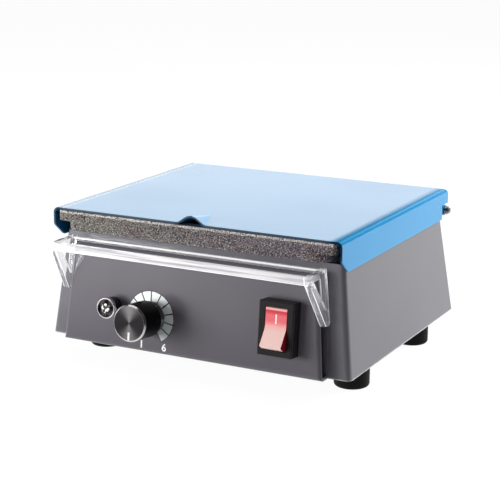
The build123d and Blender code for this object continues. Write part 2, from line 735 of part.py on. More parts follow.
# gasket between the housing's top flange and the block's shoulder
gasket_front_y = front_y(top_z) + WALL / 2
gasket_rear_y = min(rear_y(top_z), block_front_y + block_depth) - WALL / 2
with BuildPart() as block_gasket:
    with BuildSketch(Plane.XY.offset(top_z)):
        with Locations((0, (gasket_front_y + gasket_rear_y) / 2)):
            RectangleRounded(shoulder_width - WALL, gasket_rear_y - gasket_front_y, TRAY_CORNER_RADIUS)
        with Locations((0, well_body_y)):
            RectangleRounded(opening_width, opening_depth, WELL_CORNER, mode=Mode.SUBTRACT)
        with Locations(*block_screw_places):
            Circle(M4_DIAMETER / 2 + SCREW_GAP, mode=Mode.SUBTRACT)
    extrude(amount=GASKET_THICKNESS)
finish(block_gasket.part, "block_gasket")

finish(
    pan_screws(
        Plane.XY.offset(top_z - WALL),
        block_screw_places,
        WALL + GASKET_THICKNESS + BLOCK_SCREW_DEPTH,
        M4_DIAMETER,
        M4_HEAD_DIAMETER,
        M4_HEAD_HEIGHT,
    ),
    "block_screws",
)

# ---- heater stack: element, clamp plate, insulation pad, shield tray and its pillars ----
with BuildPart() as heating_element:
    with BuildSketch(Plane.XY.offset(element_z)):
        with Locations((0, well_body_y)):
            RectangleRounded(element_width, element_depth, WELL_FLOOR_RADIUS)
    extrude(amount=ELEMENT_THICKNESS)
finish(heating_element.part, "heating_element")

element_front_y = well_body_y - element_depth / 2
with BuildPart() as element_tabs:
    with BuildSketch(Plane.XY.offset(element_z + (ELEMENT_THICKNESS - TAB_SHEET) / 2)):
        with Locations((0, element_front_y - ELEMENT_TAB_LENGTH / 2)):
            with GridLocations(2 * ELEMENT_TAB_X, 0, 2, 1):
                Rectangle(ELEMENT_TAB_WIDTH, ELEMENT_TAB_LENGTH)
    extrude(amount=TAB_SHEET)
    chamfer(element_tabs.edges().filter_by(Axis.Z).group_by(Axis.Y)[0], TAB_SHEET)
finish(element_tabs.part, "element_tabs")

with BuildPart() as element_clamp:
    with BuildSketch(Plane.XY.offset(clamp_z)):
        with Locations((0, well_body_y)):
            RectangleRounded(2 * clamp_screw_x + M4_HEAD_DIAMETER, element_depth - WELL_MARGIN, WELL_FLOOR_RADIUS)
        with Locations((-clamp_screw_x, well_body_y), (clamp_screw_x, well_body_y)):
            Circle(M4_DIAMETER / 2 + SCREW_GAP, mode=Mode.SUBTRACT)
    extrude(amount=CLAMP_THICKNESS)
finish(element_clamp.part, "element_clamp")

finish(
    pan_screws(
        Plane.XY.offset(clamp_z),
        [(-clamp_screw_x, well_body_y), (clamp_screw_x, well_body_y)],
        CLAMP_THICKNESS + ELEMENT_THICKNESS + BLOCK_SCREW_DEPTH,
        M4_DIAMETER,
        M4_HEAD_DIAMETER,
        M4_HEAD_HEIGHT,
    ),
    "clamp_screws",
)

with BuildPart() as insulation_pad:
    with BuildSketch(Plane.XY.offset(pad_z)):
        with Locations((0, well_body_y)):
            RectangleRounded(element_width, element_depth - WELL_MARGIN, WELL_FLOOR_RADIUS)
        with Locations(*pillar_places):
            Circle(M3_HEAD_DIAMETER / 2 + SCREW_GAP, mode=Mode.SUBTRACT)
    extrude(amount=PAD_THICKNESS)
finish(insulation_pad.part, "insulation_pad")

with BuildPart() as heat_shield:
    with BuildSketch(Plane.XY.offset(shield_z)):
        with Locations((0, well_body_y)):
            RectangleRounded(
                element_width + 2 * (SHIELD_SHEET + FIT_GAP),
                element_depth - WELL_MARGIN + 2 * (SHIELD_SHEET + FIT_GAP),
                WELL_FLOOR_RADIUS + SHIELD_SHEET,
            )
    extrude(amount=SHIELD_SHEET + SHIELD_LIP)
    with BuildSketch(Plane.XY.offset(shield_z + SHIELD_SHEET)):
        with Locations((0, well_body_y)):
            RectangleRounded(
                element_width + 2 * FIT_GAP,
                element_depth - WELL_MARGIN + 2 * FIT_GAP,
                WELL_FLOOR_RADIUS,
            )
    extrude(amount=SHIELD_LIP, mode=Mode.SUBTRACT)
    with BuildSketch(Plane.XY.offset(shield_z)):
        with Locations(*pillar_places):
            Circle(M3_DIAMETER / 2 + SCREW_GAP)
    extrude(amount=SHIELD_SHEET, mode=Mode.SUBTRACT)
finish(heat_shield.part, "heat_shield")

pillar_height = shield_z - flange_z
with BuildPart() as shield_pillars:
    with BuildSketch(Plane.XY.offset(flange_z)):
        with Locations(*pillar_places):
            RegularPolygon(PILLAR_ACROSS / 2, 6, major_radius=False)
            Circle(M3_DIAMETER / 2 + THREAD_GAP, mode=Mode.SUBTRACT)
    extrude(amount=pillar_height)
finish(shield_pillars.part, "shield_pillars")
pillar_screw_length = PLATE_THICKNESS + PILLAR_TAP
low_pillar_screws = pan_screws(
    Plane.XY.offset(base_z),
    pillar_places,
    pillar_screw_length,
    M3_DIAMETER,
    M3_HEAD_DIAMETER,
    M3_HEAD_HEIGHT,
)
shield_top = Plane(origin=(0, 0, shield_z + SHIELD_SHEET), x_dir=(1, 0, 0), z_dir=(0, 0, -1))
high_pillar_screws = pan_screws(
    shield_top,
    [(x, -y) for x, y in pillar_places],
    SHIELD_SHEET + PILLAR_TAP,
    M3_DIAMETER,
    M3_HEAD_DIAMETER,
    M3_HEAD_HEIGHT,
)
finish(low_pillar_screws + high_pillar_screws, "pillar_screws")

# thermal cut-out: a ceramic disc switch with two screwed ears
with BuildPart() as thermal_cutout:
    with BuildSketch(cutout_plane):
        SlotCenterToCenter(CUTOUT_EAR_SPACING, CUTOUT_EAR_WIDTH)
        with Locations(*cutout_ear_places):
            Circle(M3_DIAMETER / 2 + SCREW_GAP, mode=Mode.SUBTRACT)
    extrude(amount=SHIELD_SHEET)
    with BuildSketch(cutout_plane):
        Circle(CUTOUT_DIAMETER / 2)
    extrude(amount=CUTOUT_HEIGHT)
finish(thermal_cutout.part, "thermal_cutout")
with BuildPart() as cutout_terminals:
    with BuildSketch(cutout_plane.offset(CUTOUT_HEIGHT)):
        with GridLocations(CUTOUT_DIAMETER, 0, 2, 1):
            Rectangle(CUTOUT_DIAMETER - WALL, SMALL_TAB_WIDTH)
    extrude(amount=TAB_SHEET)
finish(cutout_terminals.part, "cutout_terminals")
cutout_inward = Plane(
    origin=cutout_plane.origin + cutout_plane.z_dir * SHIELD_SHEET,
    x_dir=(1, 0, 0),
    z_dir=cutout_plane.z_dir * -1,
)
finish(
    pan_screws(
        cutout_inward,
        cutout_ear_places,
        SHIELD_SHEET + CUTOUT_TAP - FIT_GAP,
        M3_DIAMETER,
        M3_HEAD_DIAMETER,
        M3_HEAD_HEIGHT,
    ),
    "cutout_screws",
)

# ---- lid ----
# folded sheet: flanges at the sides and the back, a bare front edge with a raised thumb hood
with BuildPart() as lid:
    with BuildSketch(Plane.XY.offset(lid_top_z)):
        with Locations((0, (lid_front_y + lid_rear_y) / 2)):
            Rectangle(lid_width, lid_depth)
    extrude(amount=-LID_SIDE_FLANGE)
    top_edges = lid.edges().group_by(Axis.Z)[-1]
    fillet(top_edges.sort_by(Axis.Y)[1:], LID_BEND_RADIUS)
    offset(
        amount=-LID_SHEET,
        openings=[lid.faces().sort_by(Axis.Y)[0], lid.faces().sort_by(Axis.Z)[0]],
    )
    # the rear flange is shorter than the side flanges, which stop short of the rear corner
    with BuildSketch(Plane.YZ):
        with BuildLine():
            relief_y = lid_rear_y - LID_REAR_RELIEF
            relief_z = lid_top_z - LID_REAR_FLANGE
            low_z = lid_top_z - LID_SIDE_FLANGE - LID_SHEET
            Polyline(
                (relief_y, low_z),
                (relief_y, relief_z),
                (lid_rear_y + LID_SHEET, relief_z),
                (lid_rear_y + LID_SHEET, low_z),
                close=True,
            )
        make_face()
        # slanted front corner of the side flanges
        with BuildLine():
            Polyline(
                (lid_front_y - LID_SHEET, low_z),
                (lid_front_y - LID_SHEET, lid_top_z - LID_FRONT_STRAIGHT),
                (lid_front_y, lid_top_z - LID_FRONT_STRAIGHT),
                (lid_front_y + LID_FRONT_SLANT, lid_top_z - LID_SIDE_FLANGE),
                (lid_front_y + LID_FRONT_SLANT, low_z),
                close=True,
            )
        make_face()
    extrude(amount=lid_width, both=True, mode=Mode.SUBTRACT)
    slant_edges = lid.edges().filter_by(Axis.X).filter_by(
        lambda edge: abs(edge.center().Z - lid_top_z + LID_SIDE_FLANGE) < 0.01
        and edge.center().Y < lid_front_y + LID_FRONT_SLANT + 0.5
    )
    fillet(slant_edges, LID_CORNER_RADIUS)
    corner_edges = lid.edges().filter_by(Axis.X).filter_by(
        lambda edge: abs(edge.center().Z - lid_top_z + LID_FRONT_STRAIGHT) < 0.01
    )
    fillet(corner_edges, LID_CORNER_RADIUS)
    # raised thumb hood: the sheet is pressed up at the front edge and dies out towards the back
    for drop, mode in ((0, Mode.ADD), (LID_SHEET, Mode.SUBTRACT)):
        hood_z = lid_top_z - drop
        with BuildSketch(Plane.XZ.offset(-lid_front_y)) as hood_mouth:
            with BuildLine():
                Spline(
                    (-HOOD_WIDTH / 2, hood_z),
                    (-HOOD_WIDTH / 4, hood_z + HOOD_HEIGHT / 2),
                    (0, hood_z + HOOD_HEIGHT),
                    (HOOD_WIDTH / 4, hood_z + HOOD_HEIGHT / 2),
                    (HOOD_WIDTH / 2, hood_z),
                    tangents=((1, 0), (1, 0)),
                )
                Line((HOOD_WIDTH / 2, hood_z), (-HOOD_WIDTH / 2, hood_z))
            make_face()
        loft(sections=[hood_mouth.sketch.face(), Vertex(0, lid_front_y + HOOD_LENGTH, hood_z)], mode=mode)
finish(lid.part, "lid")

# ---- lid hinge ----
leaf_x = leaf_knuckle_x + KNUCKLE_LENGTH / 2 - LEAF_WIDTH / 2
leaf_low_z = lid_top_z - LID_REAR_FLANGE + LEAF_MARGIN / 2
leaf_high_z = lid_top_z - LID_BEND_RADIUS
rivet_places = [
    (side * (leaf_x + step), (leaf_low_z + leaf_high_z) / 2)
    for side in (-1, 1)
    for step in (-LEAF_WIDTH / 3, LEAF_WIDTH / 3)
]
bore_radius = HINGE_ROD_DIAMETER / 2 + RUNNING_GAP
with BuildPart() as hinge_leaves:
    for side in (-1, 1):
        # flat leaf on the back of the rear flange
        with BuildSketch(Plane.XZ.offset(-lid_rear_y)):
            with Locations((side * leaf_x, (leaf_low_z + leaf_high_z) / 2)):
                Rectangle(LEAF_WIDTH, leaf_high_z - leaf_low_z)
        extrude(amount=-LEAF_THICKNESS)
        # rolled knuckle at its outer end
        with BuildSketch(Plane.YZ.offset(side * leaf_knuckle_x)):
            with Locations((lid_rear_y + LEAF_THICKNESS / 2, (leaf_low_z + hinge_z + LEAF_THICKNESS) / 2)):
                Rectangle(LEAF_THICKNESS, leaf_low_z + LEAF_THICKNESS - hinge_z)
            with Locations((hinge_y, hinge_z)):
                Circle(KNUCKLE_DIAMETER / 2)
                Circle(bore_radius, mode=Mode.SUBTRACT)
        extrude(amount=KNUCKLE_LENGTH / 2, both=True)
finish(hinge_leaves.part, "hinge_leaves")

with BuildPart() as leaf_rivets:
    with BuildSketch(Plane.XZ.offset(-(lid_rear_y + LEAF_THICKNESS))):
        with Locations(*rivet_places):
            Circle(RIVET_DIAMETER / 2)
    extrude(amount=-RIVET_HEIGHT)
    fillet(leaf_rivets.edges().group_by(Axis.Y)[-1], 2 * RIVET_HEIGHT / 3)
finish(leaf_rivets.part, "leaf_rivets")

rod_length = 2 * (leaf_knuckle_x + KNUCKLE_LENGTH / 2 + HINGE_ROD_OVERHANG + CAP_LENGTH)
with BuildPart() as hinge_rod:
    with BuildSketch(Plane.YZ):
        with Locations((hinge_y, hinge_z)):
            Circle(HINGE_ROD_DIAMETER / 2)
    extrude(amount=rod_length / 2, both=True)
    chamfer(hinge_rod.edges().filter_by(GeomType.CIRCLE), ROD_CHAMFER)
finish(hinge_rod.part, "hinge_rod")

with BuildPart() as hinge_caps:
    for side in (-1, 1):
        with BuildSketch(Plane.YZ.offset(side * (leaf_knuckle_x + KNUCKLE_LENGTH / 2 + KNUCKLE_GAP))):
            with Locations((hinge_y, hinge_z)):
                Circle(CAP_DIAMETER / 2)
                Circle(bore_radius, mode=Mode.SUBTRACT)
        extrude(amount=side * CAP_LENGTH)
finish(hinge_caps.part, "hinge_caps")

# bracket: lies on the rear wall, then leans out to its knuckle
bracket_foot = rear_plane.from_local_coords(Vector(0, BRACKET_LOW, 0))
bracket_bend = rear_plane.from_local_coords(Vector(0, BRACKET_HIGH, 0))
reach = Vector(0, hinge_y - bracket_bend.Y, hinge_z - bracket_bend.Z)
arm_turn = atan2(reach.Z, reach.Y) - asin((KNUCKLE_DIAMETER / 2 - BRACKET_THICKNESS / 2) / reach.length)
arm_run = sqrt(reach.length**2 - (KNUCKLE_DIAMETER / 2 - BRACKET_THICKNESS / 2) ** 2)
arm_end = bracket_bend + Vector(0, cos(arm_turn), sin(arm_turn)) * arm_run
half_sheet = BRACKET_THICKNESS / 2
arm_out = Vector(0, sin(arm_turn), -cos(arm_turn)) * half_sheet
wall_out = rear_plane.z_dir * BRACKET_THICKNESS
with BuildPart() as hinge_brackets:
    for side in (-1, 1):
        with BuildSketch(Plane.YZ.offset(side * bracket_x)):
            with BuildLine():
                Polyline(
                    (bracket_foot.Y, bracket_foot.Z),
                    (bracket_bend.Y, bracket_bend.Z),
                    ((bracket_bend + wall_out).Y, (bracket_bend + wall_out).Z),
                    ((bracket_foot + wall_out).Y, (bracket_foot + wall_out).Z),
                    close=True,
                )
            make_face()
        extrude(amount=BRACKET_WIDTH / 2, both=True)
        with BuildSketch(Plane.YZ.offset(side * bracket_knuckle_x)):
            with BuildLine():
                bend = bracket_bend + wall_out * 0.5
                Polyline(
                    ((bend - arm_out).Y, (bend - arm_out).Z),
                    ((arm_end - arm_out).Y, (arm_end - arm_out).Z),
                    ((arm_end + arm_out).Y, (arm_end + arm_out).Z),
                    ((bend + arm_out).Y, (bend + arm_out).Z),
                    close=True,
                )
            make_face()
            with Locations((hinge_y, hinge_z)):
                Circle(KNUCKLE_DIAMETER / 2)
                Circle(bore_radius, mode=Mode.SUBTRACT)
        extrude(amount=KNUCKLE_LENGTH / 2, both=True)
    with BuildSketch(rear_plane):
        with Locations(*bracket_screw_places):
            Circle(M3_DIAMETER / 2 + SCREW_GAP)
    extrude(amount=2 * BRACKET_THICKNESS, mode=Mode.SUBTRACT)
finish(hinge_brackets.part, "hinge_brackets")

rear_inward = Plane(
    origin=rear_plane.origin + rear_plane.z_dir * BRACKET_THICKNESS,
    x_dir=(1, 0, 0),
    z_dir=rear_plane.z_dir * -1,
)
finish(
    pan_screws(
        rear_inward,
        bracket_screw_places,
        BRACKET_THICKNESS + WALL + M3_NUT_HEIGHT + 1.0,
        M3_DIAMETER,
        M3_HEAD_DIAMETER,
        M3_HEAD_HEIGHT,
    ),
    "bracket_screws",
)
finish(
    hex_nuts(
        rear_inward.offset(BRACKET_THICKNESS + WALL),
        bracket_screw_places,
        M3_NUT_ACROSS,
        M3_NUT_HEIGHT,
        M3_DIAMETER,
    ),
    "bracket_nuts",
)

# ---- thermostat ----
# body behind the panel, with a threaded bush that comes through it; the shaft turns in the bush
panel_back = panel_plane.offset(-PANEL_SHEET)
with BuildPart() as thermostat_body:
    with BuildSketch(panel_back):
        with Locations((KNOB_X, KNOB_UP)):
            RectangleRounded(THERMOSTAT_SIZE, THERMOSTAT_SIZE, THERMOSTAT_CORNER)
    extrude(amount=-THERMOSTAT_DEPTH)
    fillet(thermostat_body.faces().sort_by(Axis.Y)[-1].edges(), THERMOSTAT_EDGE)
    with BuildSketch(panel_back):
        with Locations((KNOB_X, KNOB_UP)):
            Circle(BUSH_DIAMETER / 2)
    extrude(amount=PANEL_SHEET + BUSH_LENGTH)
    with BuildSketch(panel_plane.offset(BUSH_LENGTH)):
        with Locations((KNOB_X, KNOB_UP)):
            Circle(SHAFT_DIAMETER / 2 + RUNNING_GAP)
    extrude(amount=-(BUSH_LENGTH + PANEL_SHEET + SHAFT_IN_BODY + FIT_GAP), mode=Mode.SUBTRACT)
finish(thermostat_body.part, "thermostat_body")

with BuildPart() as thermostat_terminals:
    with BuildSketch(panel_back.offset(-THERMOSTAT_DEPTH)):
        with Locations((KNOB_X, KNOB_UP - TAB_WIDTH)):
            with GridLocations(2 * TAB_WIDTH, 0, 2, 1):
                Rectangle(TAB_SHEET, TAB_WIDTH)
    extrude(amount=-TAB_LENGTH)
finish(thermostat_terminals.part, "thermostat_terminals")

with BuildPart() as thermostat_washer:
    with BuildSketch(panel_plane):
        with Locations((KNOB_X, KNOB_UP)):
            Circle(BUSH_NUT_ACROSS / 2 + WASHER_LIP)
            Circle(BUSH_DIAMETER / 2 + THREAD_GAP, mode=Mode.SUBTRACT)
    extrude(amount=WASHER_THICKNESS)
finish(thermostat_washer.part, "thermostat_washer")
finish(
    hex_nuts(
        panel_plane.offset(WASHER_THICKNESS),
        [(KNOB_X, KNOB_UP)],
        BUSH_NUT_ACROSS,
        BUSH_NUT_THICKNESS,
        BUSH_DIAMETER,
    ),
    "thermostat_nut",
)

with BuildPart() as thermostat_shaft:
    with BuildSketch(panel_plane.offset(KNOB_GAP + SHAFT_IN_KNOB)):
        with Locations((KNOB_X, KNOB_UP)):
            Circle(SHAFT_DIAMETER / 2)
    extrude(amount=-(KNOB_GAP + SHAFT_IN_KNOB + PANEL_SHEET + SHAFT_IN_BODY))
finish(thermostat_shaft.part, "thermostat_shaft")

bulb_front_y = well_body_front_y - BULB_PROUD
with BuildPart() as thermostat_bulb:
    with BuildSketch(Plane.XZ.offset(-bulb_front_y)):
        with Locations((0, bulb_z)):
            Circle(BULB_DIAMETER / 2)
    extrude(amount=-BULB_LENGTH)
    fillet(thermostat_bulb.edges().filter_by(GeomType.CIRCLE), BULB_DIAMETER / 6)
finish(thermostat_bulb.part, "thermostat_bulb")

# capillary: from the bulb's front end forwards, across and down to the thermostat's top
capillary_end = panel_back.from_local_coords(
    Vector(KNOB_X, KNOB_UP + THERMOSTAT_SIZE / 2 + FIT_GAP, -THERMOSTAT_DEPTH / 2)
)
capillary_up = panel_back.y_dir
capillary_start = Vector(0, bulb_front_y - FIT_GAP, bulb_z)
capillary_rise = capillary_end + capillary_up * CAPILLARY_RISE
with BuildPart() as capillary_tube:
    with BuildLine() as capillary_path:
        FilletPolyline(
            capillary_start,
            capillary_start + Vector(0, -CAPILLARY_LEAD, 0),
            capillary_rise + Vector(CAPILLARY_SWING, 0, 0),
            capillary_rise,
            capillary_end,
            radius=CAPILLARY_BEND,
        )
    with BuildSketch(Plane(origin=capillary_start, z_dir=(0, -1, 0))):
        Circle(CAPILLARY_DIAMETER / 2)
    sweep()
finish(capillary_tube.part, "capillary_tube")

# ---- knob ----
knob_back = panel_plane.offset(KNOB_GAP)
knob_front = panel_plane.offset(KNOB_GAP + KNOB_LENGTH)
cap_back = knob_front.offset(-KNOB_CAP_THICKNESS)
screw_start = Vector(KNOB_X, KNOB_UP + SHAFT_DIAMETER / 2 + RUNNING_GAP, SET_SCREW_UP)
with BuildPart() as knob:
    with BuildSketch(knob_back):
        with Locations((KNOB_X, KNOB_UP)):
            Circle(KNOB_DIAMETER / 2)
    extrude(amount=KNOB_LENGTH - KNOB_CAP_THICKNESS)
    fillet(knob.edges().sort_by(Axis.Y)[-1], KNOB_EDGE_RADIUS)
    # hollow behind, blind bore for the shaft, recess for the cap's spigot
    with BuildSketch(knob_back):
        with Locations((KNOB_X, KNOB_UP)):
            Circle(KNOB_DIAMETER / 2 - SKIRT_WALL)
    extrude(amount=SKIRT_HOLLOW, mode=Mode.SUBTRACT)
    with BuildSketch(knob_back):
        with Locations((KNOB_X, KNOB_UP)):
            Circle(SHAFT_DIAMETER / 2 + RUNNING_GAP)
    extrude(amount=SHAFT_IN_KNOB + RUNNING_GAP, mode=Mode.SUBTRACT)
    with BuildSketch(cap_back):
        with Locations((KNOB_X, KNOB_UP)):
            Circle(SPIGOT_DIAMETER / 2 + RUNNING_GAP)
    extrude(amount=-(SPIGOT_LENGTH + RUNNING_GAP), mode=Mode.SUBTRACT)
    # radial hole for the set screw
    with BuildSketch(Plane(origin=knob_back.from_local_coords(screw_start), z_dir=panel_plane.y_dir)):
        Circle(SET_SCREW_DIAMETER / 2 + THREAD_GAP)
    extrude(amount=KNOB_DIAMETER, mode=Mode.SUBTRACT)
finish(knob.part, "knob")

with BuildPart() as knob_set_screw:
    with BuildSketch(Plane(origin=knob_back.from_local_coords(screw_start), z_dir=panel_plane.y_dir)):
        Circle(SET_SCREW_DIAMETER / 2)
    extrude(amount=SET_SCREW_LENGTH)
    with BuildSketch(knob_set_screw.faces().sort_by(Axis.Z)[-1]):
        RegularPolygon(SET_SCREW_KEY / 2, 6, major_radius=False)
    extrude(amount=-SET_SCREW_LENGTH / 2, mode=Mode.SUBTRACT)
finish(knob_set_screw.part, "knob_set_screw")

with BuildPart() as knob_cap:
    with BuildSketch(cap_back):
        with Locations((KNOB_X, KNOB_UP)):
            Circle(KNOB_DIAMETER / 2)
    extrude(amount=KNOB_CAP_THICKNESS)
    chamfer(knob_cap.edges().sort_by(Axis.Y)[0], KNOB_BEVEL)
    with BuildSketch(cap_back):
        with Locations((KNOB_X, KNOB_UP)):
            Circle(SPIGOT_DIAMETER / 2)
    extrude(amount=-SPIGOT_LENGTH)
    # groove for the pointer, at six o'clock
    pointer_mid = KNOB_DIAMETER / 2 - KNOB_BEVEL - POINTER_LENGTH / 2
    with BuildSketch(knob_front):
        with Locations((KNOB_X, KNOB_UP - pointer_mid)):
            Rectangle(POINTER_WIDTH + 2 * THREAD_GAP, POINTER_LENGTH)
    extrude(amount=-POINTER_DEPTH, mode=Mode.SUBTRACT)
finish(knob_cap.part, "knob_cap")

with BuildPart() as knob_pointer:
    with BuildSketch(knob_front.offset(-POINTER_DEPTH)):
        with Locations((KNOB_X, KNOB_UP - pointer_mid)):
            Rectangle(POINTER_WIDTH, POINTER_LENGTH - 2 * THREAD_GAP)
    extrude(amount=POINTER_DEPTH)
finish(knob_pointer.part, "knob_pointer")

# ---- pilot lamp ----
with BuildPart() as pilot_lamp_body:
    with BuildSketch(panel_plane):
        with Locations((LAMP_X, LAMP_UP)):
            Circle(LAMP_BARREL_DIAMETER / 2)
    extrude(amount=LAMP_PROUD - LAMP_RING_LENGTH)
    with BuildSketch(panel_plane):
        with Locations((LAMP_X, LAMP_UP)):
            Circle(LAMP_TAIL_DIAMETER / 2)
    extrude(amount=-LAMP_TAIL_LENGTH)
finish(pilot_lamp_body.part, "pilot_lamp_body")

ring_back = panel_plane.offset(LAMP_PROUD - LAMP_RING_LENGTH)
with BuildPart() as pilot_lamp_ring:
    with BuildSketch(ring_back):
        with Locations((LAMP_X, LAMP_UP)):
            Circle(LAMP_RING_DIAMETER / 2)
            Circle(LENS_DIAMETER / 2 + THREAD_GAP, mode=Mode.SUBTRACT)
    extrude(amount=LAMP_RING_LENGTH)
    front_edges = pilot_lamp_ring.edges().filter_by(
        lambda edge: ring_back.to_local_coords(edge.center()).Z > LAMP_RING_LENGTH / 2
    )
    fillet(front_edges.filter_by(GeomType.CIRCLE), RING_EDGE_RADIUS)
finish(pilot_lamp_ring.part, "pilot_lamp_ring")

# faceted lens, sunk in the ring
with BuildPart() as pilot_lamp_lens:
    with BuildSketch(ring_back):
        with Locations((LAMP_X, LAMP_UP)):
            Circle(LENS_DIAMETER / 2)
    extrude(amount=LENS_RIM)
    with BuildSketch(ring_back.offset(LENS_RIM)):
        with Locations((LAMP_X, LAMP_UP)):
            RegularPolygon(LENS_DIAMETER / 2 - FIT_GAP, LENS_SIDES)
    with BuildSketch(ring_back.offset(LENS_RIM + LENS_RISE)):
        with Locations((LAMP_X, LAMP_UP)):
            RegularPolygon(LENS_FLAT / 2, LENS_SIDES)
    loft()
finish(pilot_lamp_lens.part, "pilot_lamp_lens")

lamp_places = [(LAMP_X, LAMP_UP)]
finish(
    hex_nuts(
        panel_back.offset(-LAMP_NUT_THICKNESS),
        lamp_places,
        LAMP_NUT_ACROSS,
        LAMP_NUT_THICKNESS,
        LAMP_TAIL_DIAMETER,
    ),
    "pilot_lamp_nut",
)

with BuildPart() as pilot_lamp_terminals:
    with BuildSketch(panel_plane.offset(-LAMP_TAIL_LENGTH)):
        with Locations((LAMP_X, LAMP_UP)):
            with GridLocations(LAMP_TAB_PITCH, 0, 2, 1):
                Rectangle(TAB_SHEET, SMALL_TAB_WIDTH)
    extrude(amount=-SMALL_TAB_LENGTH)
finish(pilot_lamp_terminals.part, "pilot_lamp_terminals")

# ---- rocker switch ----
# one moulding: a deep bezel in front of the panel and a body behind it, with a well for the rocker
well_half = ROCKER_RADIUS + ROCKER_GAP
well_width = ROCKER_WIDTH + 2 * ROCKER_GAP
with BuildPart() as switch_body:
    with BuildSketch(panel_plane):
        with Locations((SWITCH_X, SWITCH_UP)):
            RectangleRounded(BEZEL_WIDTH, BEZEL_HEIGHT, BEZEL_CORNER)
    extrude(amount=BEZEL_PROUD)
    bezel_face = switch_body.faces().sort_by(Axis.Y)[0]
    fillet(bezel_face.edges(), BEZEL_EDGE_RADIUS)
    with BuildSketch(panel_plane):
        with Locations((SWITCH_X, SWITCH_UP)):
            Rectangle(SWITCH_BODY_WIDTH, SWITCH_BODY_HEIGHT)
    extrude(amount=-SWITCH_BODY_DEPTH)
    with BuildSketch(panel_plane.offset(BEZEL_PROUD)):
        with Locations((SWITCH_X, SWITCH_UP)):
            Rectangle(well_width, 2 * well_half)
    extrude(amount=-(BEZEL_PROUD - ROCKER_PIVOT_PROUD + SWITCH_WELL_DEPTH), mode=Mode.SUBTRACT)
    with BuildSketch(Plane.YZ.offset(SWITCH_X)):
        pivot = panel_plane.from_local_coords(Vector(SWITCH_X, SWITCH_UP, ROCKER_PIVOT_PROUD))
        with Locations((pivot.Y, pivot.Z)):
            Circle(TRUNNION_DIAMETER / 2 + RUNNING_GAP)
    extrude(
        amount=ROCKER_WIDTH / 2 + TRUNNION_LENGTH + ROCKER_GAP,
        both=True,
        mode=Mode.SUBTRACT,
    )
finish(switch_body.part, "switch_body")

# rocker, pressed in at the top: two facets that meet in a shallow valley, ends struck from the pivot
corner = radians(ROCKER_CORNER_ANGLE)
corner_u = ROCKER_RADIUS * cos(corner)
corner_w = ROCKER_RADIUS * sin(corner)
valley_w = corner_w - corner_u * tan(radians(ROCKER_TILT))
skirt = radians(-ROCKER_SKIRT_ANGLE)
skirt_u = ROCKER_RADIUS * cos(skirt)
skirt_w = ROCKER_RADIUS * sin(skirt)
keel_u = ROCKER_KEEL_WIDTH / 2
tilted = front_lean + radians(ROCKER_TILT)
rocker_plane = Plane(origin=pivot, x_dir=(0, sin(tilted), cos(tilted)), z_dir=(1, 0, 0))
with BuildPart() as rocker:
    with BuildSketch(rocker_plane):
        with BuildLine():
            Polyline((corner_u, corner_w), (0, valley_w), (-corner_u, corner_w))
            ThreePointArc((-corner_u, corner_w), (-ROCKER_RADIUS, 0), (-skirt_u, skirt_w))
            Polyline((-skirt_u, skirt_w), (-keel_u, -ROCKER_KEEL_DEPTH), (keel_u, -ROCKER_KEEL_DEPTH), (skirt_u, skirt_w))
            ThreePointArc((skirt_u, skirt_w), (ROCKER_RADIUS, 0), (corner_u, corner_w))
        make_face()
    extrude(amount=ROCKER_WIDTH / 2, both=True)
    valley = rocker.edges().filter_by(Axis.X).filter_by(
        lambda edge: abs(rocker_plane.to_local_coords(edge.center()).X) < 0.1
    )
    fillet(valley, ROCKER_VALLEY_RADIUS)
    with BuildSketch(rocker_plane):
        Circle(TRUNNION_DIAMETER / 2)
    extrude(amount=ROCKER_WIDTH / 2 + TRUNNION_LENGTH, both=True)
finish(rocker.part, "rocker")

with BuildPart() as switch_terminals:
    with BuildSketch(panel_plane.offset(-SWITCH_BODY_DEPTH)):
        with Locations((SWITCH_X, SWITCH_UP)):
            with GridLocations(0, SWITCH_TAB_PITCH, 1, 3):
                Rectangle(TAB_WIDTH, TAB_SHEET)
    extrude(amount=-TAB_LENGTH)
finish(switch_terminals.part, "switch_terminals")

